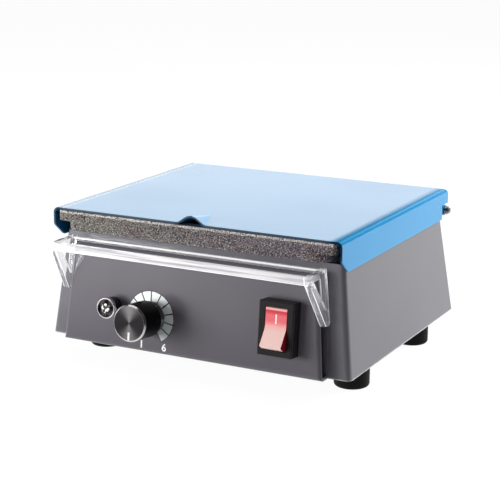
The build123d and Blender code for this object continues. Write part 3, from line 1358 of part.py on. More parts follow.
# ---- tool rest ----
# clear bar bent into a frame: a lip in front, a bar that lies on the panel's top return, and at each
# end a V whose tip hangs beside the panel
rest_low_z = panel_top_z + FIT_GAP
rest_lip_y = panel_y(panel_top_z) - REST_LIP_REACH + REST_BAR
rest_rear_y = panel_y(panel_top_z) - REST_BAR / 4
rest_tip_y = panel_y(base_z + REST_TIP_HEIGHT) + REST_GAP
rest_low_front_z = rest_low_z + REST_REAR_BAR_HEIGHT - REST_LIP_HEIGHT
rest_top_z = rest_low_z + REST_REAR_BAR_HEIGHT
rest_tip_z = base_z + REST_TIP_HEIGHT
with BuildPart() as tool_rest:
    for side in (-1, 1):
        # the end's plane lies beside the panel's leaning side
        end_plane = Plane(
            origin=(side * (PANEL_WIDTH / 2 + REST_GAP), 0, base_z),
            x_dir=(0, 1, 0),
            z_dir=(side * cos(panel_side_lean), 0, sin(panel_side_lean)),
        )
        run = 1 / cos(panel_side_lean)
        turn = side * run
        tip_v = (rest_tip_z - base_z) * turn
        low_v = (rest_low_front_z - base_z) * turn
        top_v = (rest_top_z - base_z) * turn
        front = rest_lip_y - REST_BAR
        back = rest_rear_y + REST_BAR
        inner_top = top_v - turn * REST_BAR
        inner_tip = tip_v + turn * REST_SLOT_RISE
        tip_middle = rest_tip_y + REST_TIP_WIDTH / 2
        with BuildSketch(end_plane) as end_sketch:
            with BuildLine():
                Polyline(
                    (front, top_v),
                    (front, low_v),
                    (rest_tip_y, tip_v),
                    (rest_tip_y + REST_TIP_WIDTH, tip_v),
                    (back, top_v),
                    close=True,
                )
            make_face()
            tip_corners = end_sketch.vertices().filter_by(lambda corner: abs(corner.Y - tip_v) < 0.01)
            fillet(tip_corners, REST_TIP_RADIUS)
            with BuildLine():
                Polyline(
                    (front + REST_LEG_WIDTH, inner_top),
                    (tip_middle - FIT_GAP, inner_tip),
                    (tip_middle + FIT_GAP, inner_tip),
                    (back - REST_LEG_WIDTH, inner_top),
                    close=True,
                )
            make_face(mode=Mode.SUBTRACT)
        extrude(amount=REST_BAR)
    end_x = panel_half_width(rest_top_z) + REST_GAP + REST_BAR / 2
    with BuildSketch(Plane.YZ):
        with Locations((rest_lip_y - REST_BAR / 2, rest_low_front_z + REST_LIP_HEIGHT / 2)):
            RectangleRounded(REST_BAR, REST_LIP_HEIGHT, REST_EDGE_RADIUS)
        with Locations((rest_rear_y + REST_BAR / 2, rest_low_z + REST_REAR_BAR_HEIGHT / 2)):
            RectangleRounded(REST_BAR, REST_REAR_BAR_HEIGHT, REST_EDGE_RADIUS)
    extrude(amount=end_x, both=True)
    # rounded bends where the lip turns into the ends
    bends = tool_rest.edges().filter_by(
        lambda edge: abs(edge.center().X) > end_x
        and abs(edge.center().Y - front) < 0.01
        and abs(edge.tangent_at(0.5).Z) > 0.9
    )
    fillet(bends, REST_BEND_RADIUS)
finish(tool_rest.part, "tool_rest")

# ---- mains inlet ----
with BuildPart() as inlet_body:
    with BuildSketch(inlet_plane):
        RectangleRounded(INLET_FLANGE_WIDTH, INLET_FLANGE_HEIGHT, INLET_CORNER)
    extrude(amount=INLET_FLANGE_THICKNESS)
    fillet(inlet_body.faces().sort_by(Axis.Y)[-1].edges(), INLET_EDGE_RADIUS)
    with BuildSketch(inlet_plane):
        RectangleRounded(INLET_BODY_WIDTH, INLET_BODY_HEIGHT, INLET_BODY_CORNER)
    extrude(amount=-INLET_BODY_DEPTH)
    # socket with its two cut corners
    with BuildSketch(inlet_plane.offset(INLET_FLANGE_THICKNESS)) as socket_sketch:
        Rectangle(SOCKET_WIDTH, SOCKET_HEIGHT)
        chamfer(socket_sketch.vertices().group_by(Axis.Y)[-1], SOCKET_CHAMFER)
    extrude(amount=-SOCKET_DEPTH, mode=Mode.SUBTRACT)
    with Locations(inlet_plane.offset(INLET_FLANGE_THICKNESS)):
        with Locations(*inlet_screw_places):
            CounterSinkHole(
                M3_DIAMETER / 2 + FIT_GAP,
                M3_HEAD_DIAMETER / 2 + FIT_GAP,
                depth=2 * INLET_FLANGE_THICKNESS,
            )
    pin_places = [
        (-INLET_PIN_SPACING / 2, 0),
        (INLET_PIN_SPACING / 2, 0),
        (0, INLET_EARTH_OFFSET),
    ]
    with BuildSketch(inlet_plane.offset(-INLET_BODY_DEPTH)):
        with Locations(*pin_places):
            Rectangle(INLET_PIN_WIDTH + 2 * THREAD_GAP, INLET_PIN_DEPTH + 2 * THREAD_GAP)
    extrude(amount=INLET_BODY_DEPTH, mode=Mode.SUBTRACT)
finish(inlet_body.part, "inlet_body")

with BuildPart() as inlet_pins:
    with BuildSketch(inlet_plane.offset(INLET_FLANGE_THICKNESS - INLET_PIN_SETBACK)):
        with Locations(*pin_places):
            Rectangle(INLET_PIN_WIDTH, INLET_PIN_DEPTH)
    extrude(amount=-(INLET_FLANGE_THICKNESS - INLET_PIN_SETBACK + INLET_BODY_DEPTH + INLET_TAB_LENGTH))
    ends = inlet_pins.faces().sort_by(Axis.Y)[-len(pin_places) :]
    chamfer(ends.edges(), INLET_PIN_CHAMFER)
finish(inlet_pins.part, "inlet_pins")

# countersunk screws and the nuts inside
inlet_inward = Plane(
    origin=inlet_plane.origin + inlet_plane.z_dir * INLET_FLANGE_THICKNESS,
    x_dir=(1, 0, 0),
    z_dir=inlet_plane.z_dir * -1,
)
countersink_depth = (M3_HEAD_DIAMETER - M3_DIAMETER) / 2
with BuildPart() as inlet_screws:
    with Locations(inlet_inward.offset(FIT_GAP)):
        with Locations(*inlet_screw_places):
            Cone(
                M3_HEAD_DIAMETER / 2,
                M3_DIAMETER / 2,
                countersink_depth,
                align=(Align.CENTER, Align.CENTER, Align.MIN),
            )
    with BuildSketch(inlet_inward.offset(FIT_GAP + countersink_depth)):
        with Locations(*inlet_screw_places):
            Circle(M3_DIAMETER / 2)
    extrude(amount=INLET_FLANGE_THICKNESS - countersink_depth + WALL + M3_NUT_HEIGHT + SCREW_STICK_OUT)
    with BuildSketch(inlet_inward):
        with Locations(*inlet_screw_places):
            Rectangle(M3_HEAD_DIAMETER / 2, CROSS_SLOT)
            Rectangle(CROSS_SLOT, M3_HEAD_DIAMETER / 2)
    extrude(amount=CROSS_DEPTH, mode=Mode.SUBTRACT)
finish(inlet_screws.part, "inlet_screws")
finish(
    hex_nuts(
        inlet_inward.offset(INLET_FLANGE_THICKNESS + WALL),
        inlet_screw_places,
        M3_NUT_ACROSS,
        M3_NUT_HEIGHT,
        M3_DIAMETER,
    ),
    "inlet_nuts",
)

# ---- panel screws, from inside the front wall into the panel's bosses ----
wall_inside = wall_plane.offset(-WALL)
finish(
    pan_screws(
        wall_inside,
        panel_screw_places,
        WALL + panel_tray_depth - PANEL_SHEET - SCREW_TIP_GAP,
        M3_DIAMETER,
        M3_HEAD_DIAMETER,
        M3_HEAD_HEIGHT,
    ),
    "panel_screws",
)

# ---- terminal block on the bottom plate, and the earth stud with its nut ----
terminal_y = well_body_front_y - TERMINAL_SETBACK
plate_top_z = base_z + PLATE_THICKNESS
terminal_top_z = plate_top_z + TERMINAL_BASE + TERMINAL_TOWER
with BuildPart() as terminal_block:
    with BuildSketch(Plane.XY.offset(plate_top_z)):
        with Locations((TERMINAL_X, terminal_y)):
            RectangleRounded(TERMINAL_WIDTH, TERMINAL_DEPTH, TERMINAL_CORNER)
    extrude(amount=TERMINAL_BASE)
    # one tower to each pole
    with BuildSketch(Plane.XY.offset(plate_top_z + TERMINAL_BASE)):
        with Locations((TERMINAL_X, terminal_y)):
            with GridLocations(TERMINAL_PITCH, 0, 2, 1):
                RectangleRounded(
                    TERMINAL_PITCH - TERMINAL_STEP,
                    TERMINAL_DEPTH - TERMINAL_STEP,
                    TERMINAL_CORNER / 2,
                )
    extrude(amount=TERMINAL_TOWER)
    # screw wells from above, and wire holes from back to front
    with BuildSketch(Plane.XY.offset(terminal_top_z)):
        with Locations((TERMINAL_X, terminal_y)):
            with GridLocations(TERMINAL_PITCH, TERMINAL_SCREW_PITCH, 2, 2):
                Circle(TERMINAL_SCREW_DIAMETER / 2 + FIT_GAP)
    extrude(amount=-TERMINAL_TOWER, mode=Mode.SUBTRACT)
    with BuildSketch(Plane.XZ.offset(-(terminal_y - TERMINAL_DEPTH))):
        with Locations((TERMINAL_X, plate_top_z + TERMINAL_WIRE_UP)):
            with GridLocations(TERMINAL_PITCH, 0, 2, 1):
                Circle(TERMINAL_WIRE_HOLE / 2)
    extrude(amount=-2 * TERMINAL_DEPTH, mode=Mode.SUBTRACT)
finish(terminal_block.part, "terminal_block")

terminal_seat_z = terminal_top_z - TERMINAL_TOWER + FIT_GAP
with BuildPart() as terminal_screws:
    with BuildSketch(Plane.XY.offset(terminal_seat_z)):
        with Locations((TERMINAL_X, terminal_y)):
            with GridLocations(TERMINAL_PITCH, TERMINAL_SCREW_PITCH, 2, 2):
                Circle(TERMINAL_SCREW_DIAMETER / 2)
    extrude(amount=TERMINAL_SCREW_LENGTH)
    with BuildSketch(Plane.XY.offset(terminal_seat_z + TERMINAL_SCREW_LENGTH)):
        with Locations((TERMINAL_X, terminal_y)):
            with GridLocations(TERMINAL_PITCH, TERMINAL_SCREW_PITCH, 2, 2):
                Rectangle(2 * TERMINAL_SCREW_DIAMETER, CROSS_SLOT)
    extrude(amount=-CROSS_SLOT, mode=Mode.SUBTRACT)
finish(terminal_screws.part, "terminal_screws")

earth_y = rear_y(base_z) - EARTH_SETBACK
with BuildPart() as earth_stud:
    with BuildSketch(Plane.XY.offset(plate_top_z)):
        with Locations((EARTH_X, earth_y)):
            Circle(M4_DIAMETER / 2)
    extrude(amount=EARTH_STUD_LENGTH)
    chamfer(earth_stud.edges().sort_by(Axis.Z)[-1], EARTH_CHAMFER)
finish(earth_stud.part, "earth_stud")
finish(
    hex_nuts(
        Plane.XY.offset(plate_top_z),
        [(EARTH_X, earth_y)],
        M4_NUT_ACROSS,
        M4_NUT_HEIGHT,
        M4_DIAMETER,
    ),
    "earth_nut",
)

print("origin to base centre", round(base_y, 3))
print("hinge", round(hinge_y, 3), round(hinge_z, 3))
print("rocker pivot", round(pivot.X, 3), round(pivot.Y, 3), round(pivot.Z, 3))
knob_centre = panel_plane.from_local_coords(Vector(KNOB_X, KNOB_UP, 0))
print("knob", round(knob_centre.X, 3), round(knob_centre.Y, 3), round(knob_centre.Z, 3))
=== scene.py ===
"""Looks of a dental laboratory wax heater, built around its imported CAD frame. Lengths are in metres."""
import json
import math

import bpy
import numpy as np
from mathutils import Matrix, Vector


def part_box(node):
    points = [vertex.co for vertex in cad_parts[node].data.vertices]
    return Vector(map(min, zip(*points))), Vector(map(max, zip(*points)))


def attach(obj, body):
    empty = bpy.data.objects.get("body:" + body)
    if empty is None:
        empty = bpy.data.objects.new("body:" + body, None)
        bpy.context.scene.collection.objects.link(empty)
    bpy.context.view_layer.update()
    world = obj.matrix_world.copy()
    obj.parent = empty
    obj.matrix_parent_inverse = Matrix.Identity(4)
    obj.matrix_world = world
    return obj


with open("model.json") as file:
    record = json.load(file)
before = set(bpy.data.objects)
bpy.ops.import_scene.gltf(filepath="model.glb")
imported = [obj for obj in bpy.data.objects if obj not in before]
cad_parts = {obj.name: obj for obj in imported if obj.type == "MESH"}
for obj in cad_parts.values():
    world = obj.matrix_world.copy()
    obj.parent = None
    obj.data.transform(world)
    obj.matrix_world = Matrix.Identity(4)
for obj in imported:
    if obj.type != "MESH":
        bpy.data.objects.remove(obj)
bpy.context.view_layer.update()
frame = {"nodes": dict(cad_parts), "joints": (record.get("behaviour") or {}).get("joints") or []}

MM = 0.001

# ---- viewpoint, floor and light ----
# The heater stands on a plain white table under soft studio light, seen from its front right corner
# and a little above. A long lens keeps the lid's edges nearly parallel.
CAMERA_PLACE = Vector((0.354851, -0.683994, 0.249287))
CAMERA_TURN = 0.478
CAMERA_DIP = 0.246
CAMERA_ROLL = 0.006
LENS = 106.09
TABLE_SIDE = 2.5
TABLE_FRONT = -0.3
TABLE_BACK = 4.0
TABLE_PAPER = (0.82, 0.82, 0.83)
TABLE_GLOW = 1.1
TABLE_REFLECTED = 1.15
TABLE_DIM_Y = -0.17
TABLE_LIT_Y = -0.06
TABLE_DIM_SHARE = 0.15
TABLE_PLAIN_SHARE = 0.86
SKY_GLOW = 0.21
ROOM_GLOW = 0.03
BACKDROP_GLOW = 1.9
CARD_GLOW = 2.4

forward = Vector((
    -math.sin(CAMERA_TURN) * math.cos(CAMERA_DIP),
    math.cos(CAMERA_TURN) * math.cos(CAMERA_DIP),
    -math.sin(CAMERA_DIP),
))
level = Vector((math.cos(CAMERA_TURN), math.sin(CAMERA_TURN), 0))
upward = level.cross(forward)
across = level * math.cos(CAMERA_ROLL) + upward * math.sin(CAMERA_ROLL)
upright = upward * math.cos(CAMERA_ROLL) - level * math.sin(CAMERA_ROLL)
camera_data = bpy.data.cameras.new("camera")
camera_data.lens = LENS
camera_data.sensor_width = 36
camera_data.clip_start = 0.01
camera = bpy.data.objects.new("camera", camera_data)
facing = Matrix((across, upright, -forward)).transposed().to_4x4()
camera.matrix_world = Matrix.Translation(CAMERA_PLACE) @ facing
bpy.context.scene.collection.objects.link(camera)
bpy.context.scene.camera = camera
bpy.context.scene.view_settings.view_transform = "Standard"


def softbox(name, place, aim, width, height, watts):
    """Adds a rectangular area lamp at a place, turned towards an aim point."""
    data = bpy.data.lights.new(name, "AREA")
    data.shape = "RECTANGLE"
    data.size = width
    data.size_y = height
    data.energy = watts
    lamp = bpy.data.objects.new(name, data)
    lamp.location = place
    lamp.rotation_euler = (Vector(aim) - Vector(place)).to_track_quat("-Z", "Y").to_euler()
    bpy.context.scene.collection.objects.link(lamp)
    return lamp


# the gloss shows the surround below, not the lamps at the right and the front
softbox("softbox_right", (0.72, 0.83, 0.35), (0, 0, 0.04), 0.45, 0.8, 20.5).visible_glossy = False
softbox("softbox_above", (-0.25, 0.1, 1.2), (0, 0, 0.04), 1.0, 1.0, 4.5)
softbox("softbox_front", (-0.44, -0.5, 0.09), (0, -0.06, 0.04), 0.3, 0.3, 5).visible_glossy = False


class Wire:
    """A shader socket. Python's operators on it add Math nodes to its graph and give their result."""

    def __init__(self, graph, socket):
        self.graph = graph
        self.socket = socket

    def __add__(self, other):
        return self.graph.math("ADD", self, other)

    def __sub__(self, other):
        return self.graph.math("SUBTRACT", self, other)

    def __rsub__(self, other):
        return self.graph.math("SUBTRACT", other, self)

    def __mul__(self, other):
        return self.graph.math("MULTIPLY", self, other)

    def __truediv__(self, other):
        return self.graph.math("DIVIDE", self, other)

    def __pow__(self, other):
        return self.graph.math("POWER", self, other)

    def __abs__(self):
        return self.graph.math("ABSOLUTE", self)

    __radd__ = __add__
    __rmul__ = __mul__

    def at_least(self, other):
        """The larger of two values."""
        return self.graph.math("MAXIMUM", self, other)


class Graph:
    """A node tree: adds nodes with their settings and joins sockets."""

    def __init__(self, tree):
        self.tree = tree

    def join(self, socket, value):
        """Puts a number, a colour or another node's output into a socket."""
        if isinstance(value, Wire):
            self.tree.links.new(value.socket, socket)
        elif isinstance(value, (int, float)):
            socket.default_value = value
        else:
            value = tuple(value)
            socket.default_value = value + (1,) * (len(socket.default_value) - len(value))

    def node(self, kind, settings, sockets, output=0):
        """Adds a node of a kind with its settings, then its sockets' values or links; gives one output."""
        made = self.tree.nodes.new("ShaderNode" + kind)
        for setting, value in settings.items():
            setattr(made, setting, value)
        for key, value in sockets.items():
            self.join(made.inputs[key], value)
        return Wire(self, made.outputs[output])

    def math(self, operation, *values):
        """A Math node's result."""
        return self.node("Math", {"operation": operation}, dict(enumerate(values)))

    def parts(self, vector):
        """A vector's three numbers."""
        split = self.node("SeparateXYZ", {}, {0: vector})
        return [Wire(self, output) for output in split.socket.node.outputs]

    def band(self, value, low, high, first=0.0, last=1.0):
        """Goes smoothly from first to last while a value goes from low to high, or down from high to low."""
        return self.node(
            "MapRange", {"interpolation_type": "SMOOTHSTEP"},
            {"Value": value, "From Min": low, "From Max": high, "To Min": first, "To Max": last},
        )

    def rays(self, *kinds):
        """A switch for each kind of ray, Camera, Glossy, Transmission, Shadow or Diffuse: 1 on such a ray."""
        outputs = self.node("LightPath", {}, {}).socket.node.outputs
        return [Wire(self, outputs[f"Is {kind} Ray"]) for kind in kinds]


class Finish(Graph):
    """One material: its node tree and the Principled shader that its patterns feed."""

    def __init__(self, name, **constants):
        self.material = bpy.data.materials.new(name)
        self.material.use_nodes = True
        super().__init__(self.material.node_tree)
        self.shader = self.tree.nodes["Principled BSDF"]
        self.surface = self.tree.nodes["Material Output"].inputs["Surface"]
        self.feed(**constants)

    def feed(self, **values):
        """Sets or links sockets of the Principled shader: Base_Color, Roughness and so on."""
        for name, value in values.items():
            self.join(self.shader.inputs[name.replace("_", " ")], value)

    def fed(self, name):
        """What a socket of the Principled shader is linked to."""
        return Wire(self, self.shader.inputs[name].links[0].from_socket)

    def place(self, scale=(1, 1, 1), centre=(0, 0, 0), turn=(0, 0, 0)):
        """The point on the object, in metres from the frame's origin, moved and turned where asked."""
        point = self.node("TexCoord", {}, {}, "Object")
        if scale == (1, 1, 1) and centre == (0, 0, 0) and turn == (0, 0, 0):
            return point
        offset = [-c for c in centre]
        moved = self.node("Mapping", {"vector_type": "POINT"}, {"Vector": point, "Location": offset})
        sockets = {"Vector": moved, "Rotation": turn, "Scale": scale}
        return self.node("Mapping", {"vector_type": "POINT"}, sockets)

    def noise(self, size, detail=2, point=None, rough=0.5):
        """Cloudy noise from 0 to 1 whose lumps are about `size` metres wide."""
        where = self.place() if point is None else point
        sockets = {"Vector": where, "Scale": 1 / size, "Detail": detail, "Roughness": rough}
        return self.node("TexNoise", {}, sockets)

    def cells(self, size, point):
        """Cells about `size` metres wide, each with a random number from 0 to 1."""
        return self.parts(self.node("TexVoronoi", {}, {"Vector": point, "Scale": 1 / size}, "Color"))[0]

    def blend(self, share, first, second):
        """Mixes two colours."""
        return self.node("Mix", {"data_type": "RGBA"}, {0: share, 6: first, 7: second}, 2)

    def bump(self, height, depth):
        """A normal from a height pattern whose full relief is `depth` metres."""
        return self.node("Bump", {}, {"Strength": 1.0, "Distance": depth, "Height": height})


# white laminate that shows little but the heater's shadow; its front, far from the lamps, is dim in
# reflections
table_top = Finish("table_top")
to_camera, in_gloss, through_clear = table_top.rays("Camera", "Glossy", "Transmission")
paper = table_top.node("BsdfDiffuse", {}, {"Color": TABLE_PAPER})
table_y = table_top.parts(table_top.place())[1]
reflected = table_top.band(table_y, TABLE_DIM_Y, TABLE_LIT_Y, TABLE_DIM_SHARE, 1) * TABLE_REFLECTED
table_glow = TABLE_GLOW + in_gloss * (reflected - TABLE_GLOW)
glow = table_top.node("Emission", {}, {"Color": (1, 1, 1), "Strength": table_glow})
outright = to_camera + in_gloss * (1 - to_camera)
plain_share = outright.at_least(through_clear) * TABLE_PLAIN_SHARE
table_top.join(table_top.surface, table_top.node("MixShader", {}, {0: plain_share, 1: paper, 2: glow}))
table_corners = [
    (-TABLE_SIDE, TABLE_FRONT, 0), (TABLE_SIDE, TABLE_FRONT, 0),
    (TABLE_SIDE, TABLE_BACK, 0), (-TABLE_SIDE, TABLE_BACK, 0),
]
table_data = bpy.data.meshes.new("table_top")
table_data.from_pydata(table_corners, [], [(0, 1, 2, 3)])
table_data.materials.append(table_top.material)
floor = bpy.data.objects.new("table_top", table_data)
bpy.context.scene.collection.objects.link(floor)

# white to the camera; in reflections a dim room, where a white backdrop stands low behind the table and
# stops short of the right, and a white card stands at the front left
world = bpy.data.worlds.new("studio")
bpy.context.scene.world = world
world.use_nodes = True
studio = Graph(world.node_tree)
side, back, height = studio.parts(studio.node("TexCoord", {}, {}, "Generated"))
backdrop = studio.band(back, 0.0, 0.5) * studio.band(height, 0.42, 0.3) * studio.band(side, 0.4, 0.25)
card = studio.band(side, -0.2, -0.6) * studio.band(back, -0.3, -0.5) * studio.band(abs(height), 0.4, 0.2)
in_reflections = backdrop * BACKDROP_GLOW + card * CARD_GLOW + ROOM_GLOW
to_camera, in_gloss, through_clear = studio.rays("Camera", "Glossy", "Transmission")
outright = to_camera.at_least(through_clear)
strength = outright + (1 - outright) * (in_gloss * in_reflections + (1 - in_gloss) * SKY_GLOW)
studio.join(world.node_tree.nodes["Background"].inputs["Color"], (1, 1, 1))
studio.join(world.node_tree.nodes["Background"].inputs["Strength"], strength)


# ---- housing shell and control panel ----
# Pressed sheet-steel housing with a separate control panel hooked over its front, both in grey gloss enamel.
# The enamel has a faint orange peel, and its grey drifts a little where the coat is thinner.
PEEL_WIDTH = 1.6 * MM
DRIFT_WIDTH = 60 * MM
# painted highlight along the bottom fold: the heights above the bottom where it starts and where it is full
HIGHLIGHT_TOP = 0.75 * MM
HIGHLIGHT_FULL = 0.3 * MM


def tone(red, green, blue):
    """A linear colour from the 0-255 values that a painter would read off a screen, by the screen's curve."""
    shares = (red / 255, green / 255, blue / 255)
    return tuple(((c + 0.055) / 1.055) ** 2.4 if c > 0.04 else c / 12.92 for c in shares)


def dress(finish, *nodes):
    """Gives CAD nodes their finish."""
    for name in nodes:
        mesh = frame["nodes"][name].data
        mesh.materials.clear()
        mesh.materials.append(finish.material)


def enamel(name, colour, deeper, roughness, peel, bottom=None):
    """Baked enamel: a slow drift between two colours, and orange peel with a relief of `peel` metres. Where a
    bottom height is given, a painted highlight lies pale and patchy along the fold there."""
    paint = Finish(name, IOR=1.5)
    drift = paint.band(paint.noise(DRIFT_WIDTH, 2), 0.3, 0.7)
    coat = paint.blend(drift, colour, deeper)
    if bottom is not None:
        # painted highlight: the coat turns pale in patches along the bottom fold, for the light that the fold
        # catches
        low_edge = paint.band(paint.parts(paint.place())[2], bottom + HIGHLIGHT_TOP, bottom + HIGHLIGHT_FULL)
        painted_fold_highlight = low_edge * paint.band(paint.noise(7 * MM, 3), 0.25, 0.5, 0.35, 0.85)
        coat = paint.blend(painted_fold_highlight, coat, tone(186, 186, 190))
    paint.feed(
        Base_Color=coat,
        Roughness=roughness + drift * 0.03,
        Normal=paint.bump(paint.noise(PEEL_WIDTH, 1) + paint.noise(0.5 * MM, 1) * 0.1, peel),
    )
    return paint


base_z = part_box("housing_shell")[0].z
housing_paint = enamel(
    "grey_enamel_housing", (0.138, 0.135, 0.152), (0.127, 0.124, 0.141), 0.2, 12e-6, base_z)
panel_paint = enamel(
    "grey_enamel_panel", (0.112, 0.103, 0.121), (0.102, 0.093, 0.111), 0.22, 12e-6, base_z)
dress(housing_paint, "housing_shell")
dress(panel_paint, "front_panel")
dress(enamel("black_enamel_plate", tone(48, 48, 50), tone(42, 42, 44), 0.4, 20e-6), "bottom_plate")

# ---- lid ----
# One sheet of mild steel folded down at the sides and the back, light blue gloss enamel inside and out.
# The cut edge along the front and the inside are darkened by painted shade. The top rolls over gently before
# each side fold.
LID_SHEET = 1.0 * MM
LID_GAP = 0.2 * MM
LID_BEND = 3.0 * MM
ROLL_WIDTH = 7.5 * MM
ROLL_RADIUS = 14 * MM
lid_low, lid_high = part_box("lid")
rim_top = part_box("heater_block")[1].z
lid_paint = enamel("blue_enamel_lid", (0.0015, 0.245, 0.52), (0.0012, 0.23, 0.50), 0.16, 8e-6)
lid_x, lid_y, lid_z = lid_paint.parts(lid_paint.place())
# inside is where a point is nearer to the bends' axes than the middle of the sheet
bend_z = rim_top + LID_GAP + LID_SHEET - LID_BEND
past_bend = (abs(lid_x) - (lid_high.x - LID_BEND)).at_least(0.0)
above_bend = (lid_z - bend_z).at_least(0.0)
from_bend = (past_bend * past_bend + above_bend * above_bend) ** 0.5
mid_sheet = LID_BEND - LID_SHEET / 2
inside = lid_paint.band(from_bend, mid_sheet + 0.1 * MM, mid_sheet - 0.1 * MM)
inside = inside * lid_paint.band(lid_y, lid_high.y - 0.5 * MM, lid_high.y - 0.8 * MM)
# painted shade: the inside of the lid is given a darker blue
lid_shaded_inside = lid_paint.blend(inside, lid_paint.fed("Base Color"), (0.001, 0.10, 0.25))
# painted shade: the cut edge along the front is given a near-black blue
cut_edge_shade = lid_paint.band(lid_y, lid_low.y + 0.5 * MM, lid_low.y + 0.15 * MM)
# past the roll's start the height falls by the distance squared over twice the radius
past_roll = (abs(lid_x) - (lid_high.x - ROLL_WIDTH)).at_least(0.0)
fall = past_roll * past_roll * (-0.5 / ROLL_RADIUS)
lid_paint.feed(
    Base_Color=lid_paint.blend(cut_edge_shade, lid_shaded_inside, (0.002, 0.03, 0.07)),
    Normal=lid_paint.node(
        "Bump", {}, {"Strength": 1.0, "Distance": 1.0, "Height": fall, "Normal": lid_paint.fed("Normal")}),
)
dress(lid_paint, "lid", "hinge_leaves")

# ---- heater block ----
# Sand-cast aluminium with three wells, screwed down on a gasket. Its skin keeps the grain of the sand,
# stained olive and brown by heat, and turns darker and more purple towards the right. Bright flecks over it
# are rubbed high grains with painted glints, gathering into a painted highlight along the rim's upper edge.
# Its top is milled flat.
cast = Finish("sand_cast_aluminium")
cast_x, _, cast_z = cast.parts(cast.place())
grain = cast.noise(0.6 * MM, 1)
lump = cast.noise(2.6 * MM, 2)
stain = cast.noise(9 * MM, 4, rough=0.6)
# the skin turns darker and more purple towards the right
rightwards = cast.band(cast_x, -60 * MM, 60 * MM)
skin = cast.blend(rightwards, tone(112, 109, 102), tone(101, 90, 99))
skin = cast.blend(cast.band(stain, 0.48, 0.62), skin, tone(97, 84, 83))
skin = cast.blend(cast.band(grain + lump * 0.12, 0.56, 0.46), skin, tone(22, 20, 22))
# painted glints: bright flecks over the skin with rubbed high grains, gathering into a painted highlight
# along the rim's upper edge
near_edge = cast.band(cast_z, rim_top - 1.8 * MM, rim_top - 0.6 * MM)
rubbed_grains_and_glints = cast.band(cast.noise(0.5 * MM, 0) + near_edge * 0.2, 0.67, 0.73)
milled = cast.band(cast_z, rim_top - 0.1 * MM, rim_top - 0.05 * MM)
cutter = cast.noise(1.2 * MM, 3, cast.place(scale=(0.06, 1, 1)))
plate = cast.blend(cutter, tone(138, 136, 134), tone(176, 174, 172))
cast.feed(
    Base_Color=cast.blend(milled, cast.blend(rubbed_grains_and_glints, skin, tone(226, 222, 218)), plate),
    Roughness=0.6 - rubbed_grains_and_glints * 0.25 - milled * 0.2,
    Metallic=0.1 + milled * 0.5,
    Normal=cast.bump((grain + lump * 0.5) * (1 - milled) + cutter * milled * 0.06, 0.18 * MM),
)
dress(cast, "heater_block")

# ---- tool rest ----
# Clear acrylic strip, bent hot and flame-polished: a lip in front, a thin bar behind and a V at each end,
# whose legs step into slots in the panel's sides. Its faces are a little cloudy from wiping. The light along
# its edges and the soft glints on its lip are painted highlights, where a pale, faintly glowing shader is
# mixed in.
BAR = 3.2 * MM
LIP_HEIGHT = 4.4 * MM
TIP_SETBACK = 14.0 * MM
END_LEAN = math.radians(5.55)
LINE_REACH = 0.42 * MM
REAR_LINE_REACH = 1.4 * MM
rest_low, rest_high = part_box("tool_rest")
acrylic = Finish("clear_acrylic", IOR=1.49, Transmission_Weight=0.93)
wiped = acrylic.noise(5 * MM, 3, acrylic.place(scale=(0.2, 1, 1)))
acrylic.feed(
    Base_Color=acrylic.blend(wiped, (0.88, 0.88, 0.90), (0.98, 0.98, 1.0)),
    Roughness=0.03 + wiped * 0.05,
    Normal=acrylic.bump(acrylic.noise(6 * MM, 2), 60e-6),
)
rest_x, rest_y, rest_z = acrylic.parts(acrylic.place())


def near(value, place, reach=LINE_REACH):
    """1 on a plane, falling to 0 at a short distance from it."""
    return acrylic.band(abs(value - place), reach, reach * 0.45)


# corner lines, painted highlights: where two of a bar's faces meet
lip_low_z = rest_high.z - LIP_HEIGHT
below_lip = (lip_low_z - rest_z).at_least(0.0)
front_line = rest_y - below_lip * (TIP_SETBACK / (lip_low_z - rest_low.z))
outward = abs(rest_x) + (rest_z - rest_low.z) * math.tan(END_LEAN)
end_faces = near(outward, rest_high.x) + near(outward, rest_high.x - BAR)
end_lines = end_faces * (near(front_line, rest_low.y) + near(rest_y, rest_high.y))
lip_lines = near(rest_z, rest_high.z) * (near(rest_y, rest_low.y) + near(rest_y, rest_low.y + BAR))
lip_lines = lip_lines + near(rest_z, lip_low_z) * near(rest_y, rest_low.y)
bar_lines = near(rest_z, rest_high.z, REAR_LINE_REACH) * near(rest_y, rest_high.y - BAR, REAR_LINE_REACH)
bar_lines = bar_lines + near(rest_z, rest_high.z) * near(rest_y, rest_high.y) * 0.6
lines = acrylic.math("MINIMUM", end_lines + lip_lines + bar_lines, 1.0)
# long soft glints along the lip's face, strongest at its left
lip_face = acrylic.band(rest_z, lip_low_z - 0.2 * MM, lip_low_z + 0.6 * MM)
lip_face = lip_face * acrylic.band(rest_y, rest_low.y + BAR, rest_low.y + BAR * 0.5)
streak = acrylic.noise(1.6 * MM, 2, acrylic.place(scale=(0.03, 1, 1)))
leftwards = acrylic.band(rest_x, 90 * MM, -50 * MM, 0.55, 0.72)
glints = lip_face * leftwards * acrylic.band(streak, 0.3, 0.62, 0.3, 0.8)
painted_highlights = (lines * 0.75).at_least(glints)
# painted highlight: a pale shader with a faint glow of its own, mixed in along the edges and over the lip's
# glints
lit = acrylic.node("BsdfPrincipled", {}, {
    "Base Color": (0.97, 0.96, 0.98), "Roughness": 0.3,
    "Emission Color": (1, 0.97, 1), "Emission Strength": 0.42,
})
clear = Wire(acrylic, acrylic.shader.outputs[0])
body = acrylic.node("MixShader", {}, {0: painted_highlights, 1: clear, 2: lit})
# shadow and bounced rays go straight through, so that the strip throws no false bright patches
in_shadow, bounced = acrylic.rays("Shadow", "Diffuse")
straight = in_shadow.at_least(bounced)
clear_way = acrylic.node("BsdfTransparent", {}, {"Color": (0.93, 0.94, 0.94)})
acrylic.join(acrylic.surface, acrylic.node("MixShader", {}, {0: straight, 1: body, 2: clear_way}))
dress(acrylic, "tool_rest")
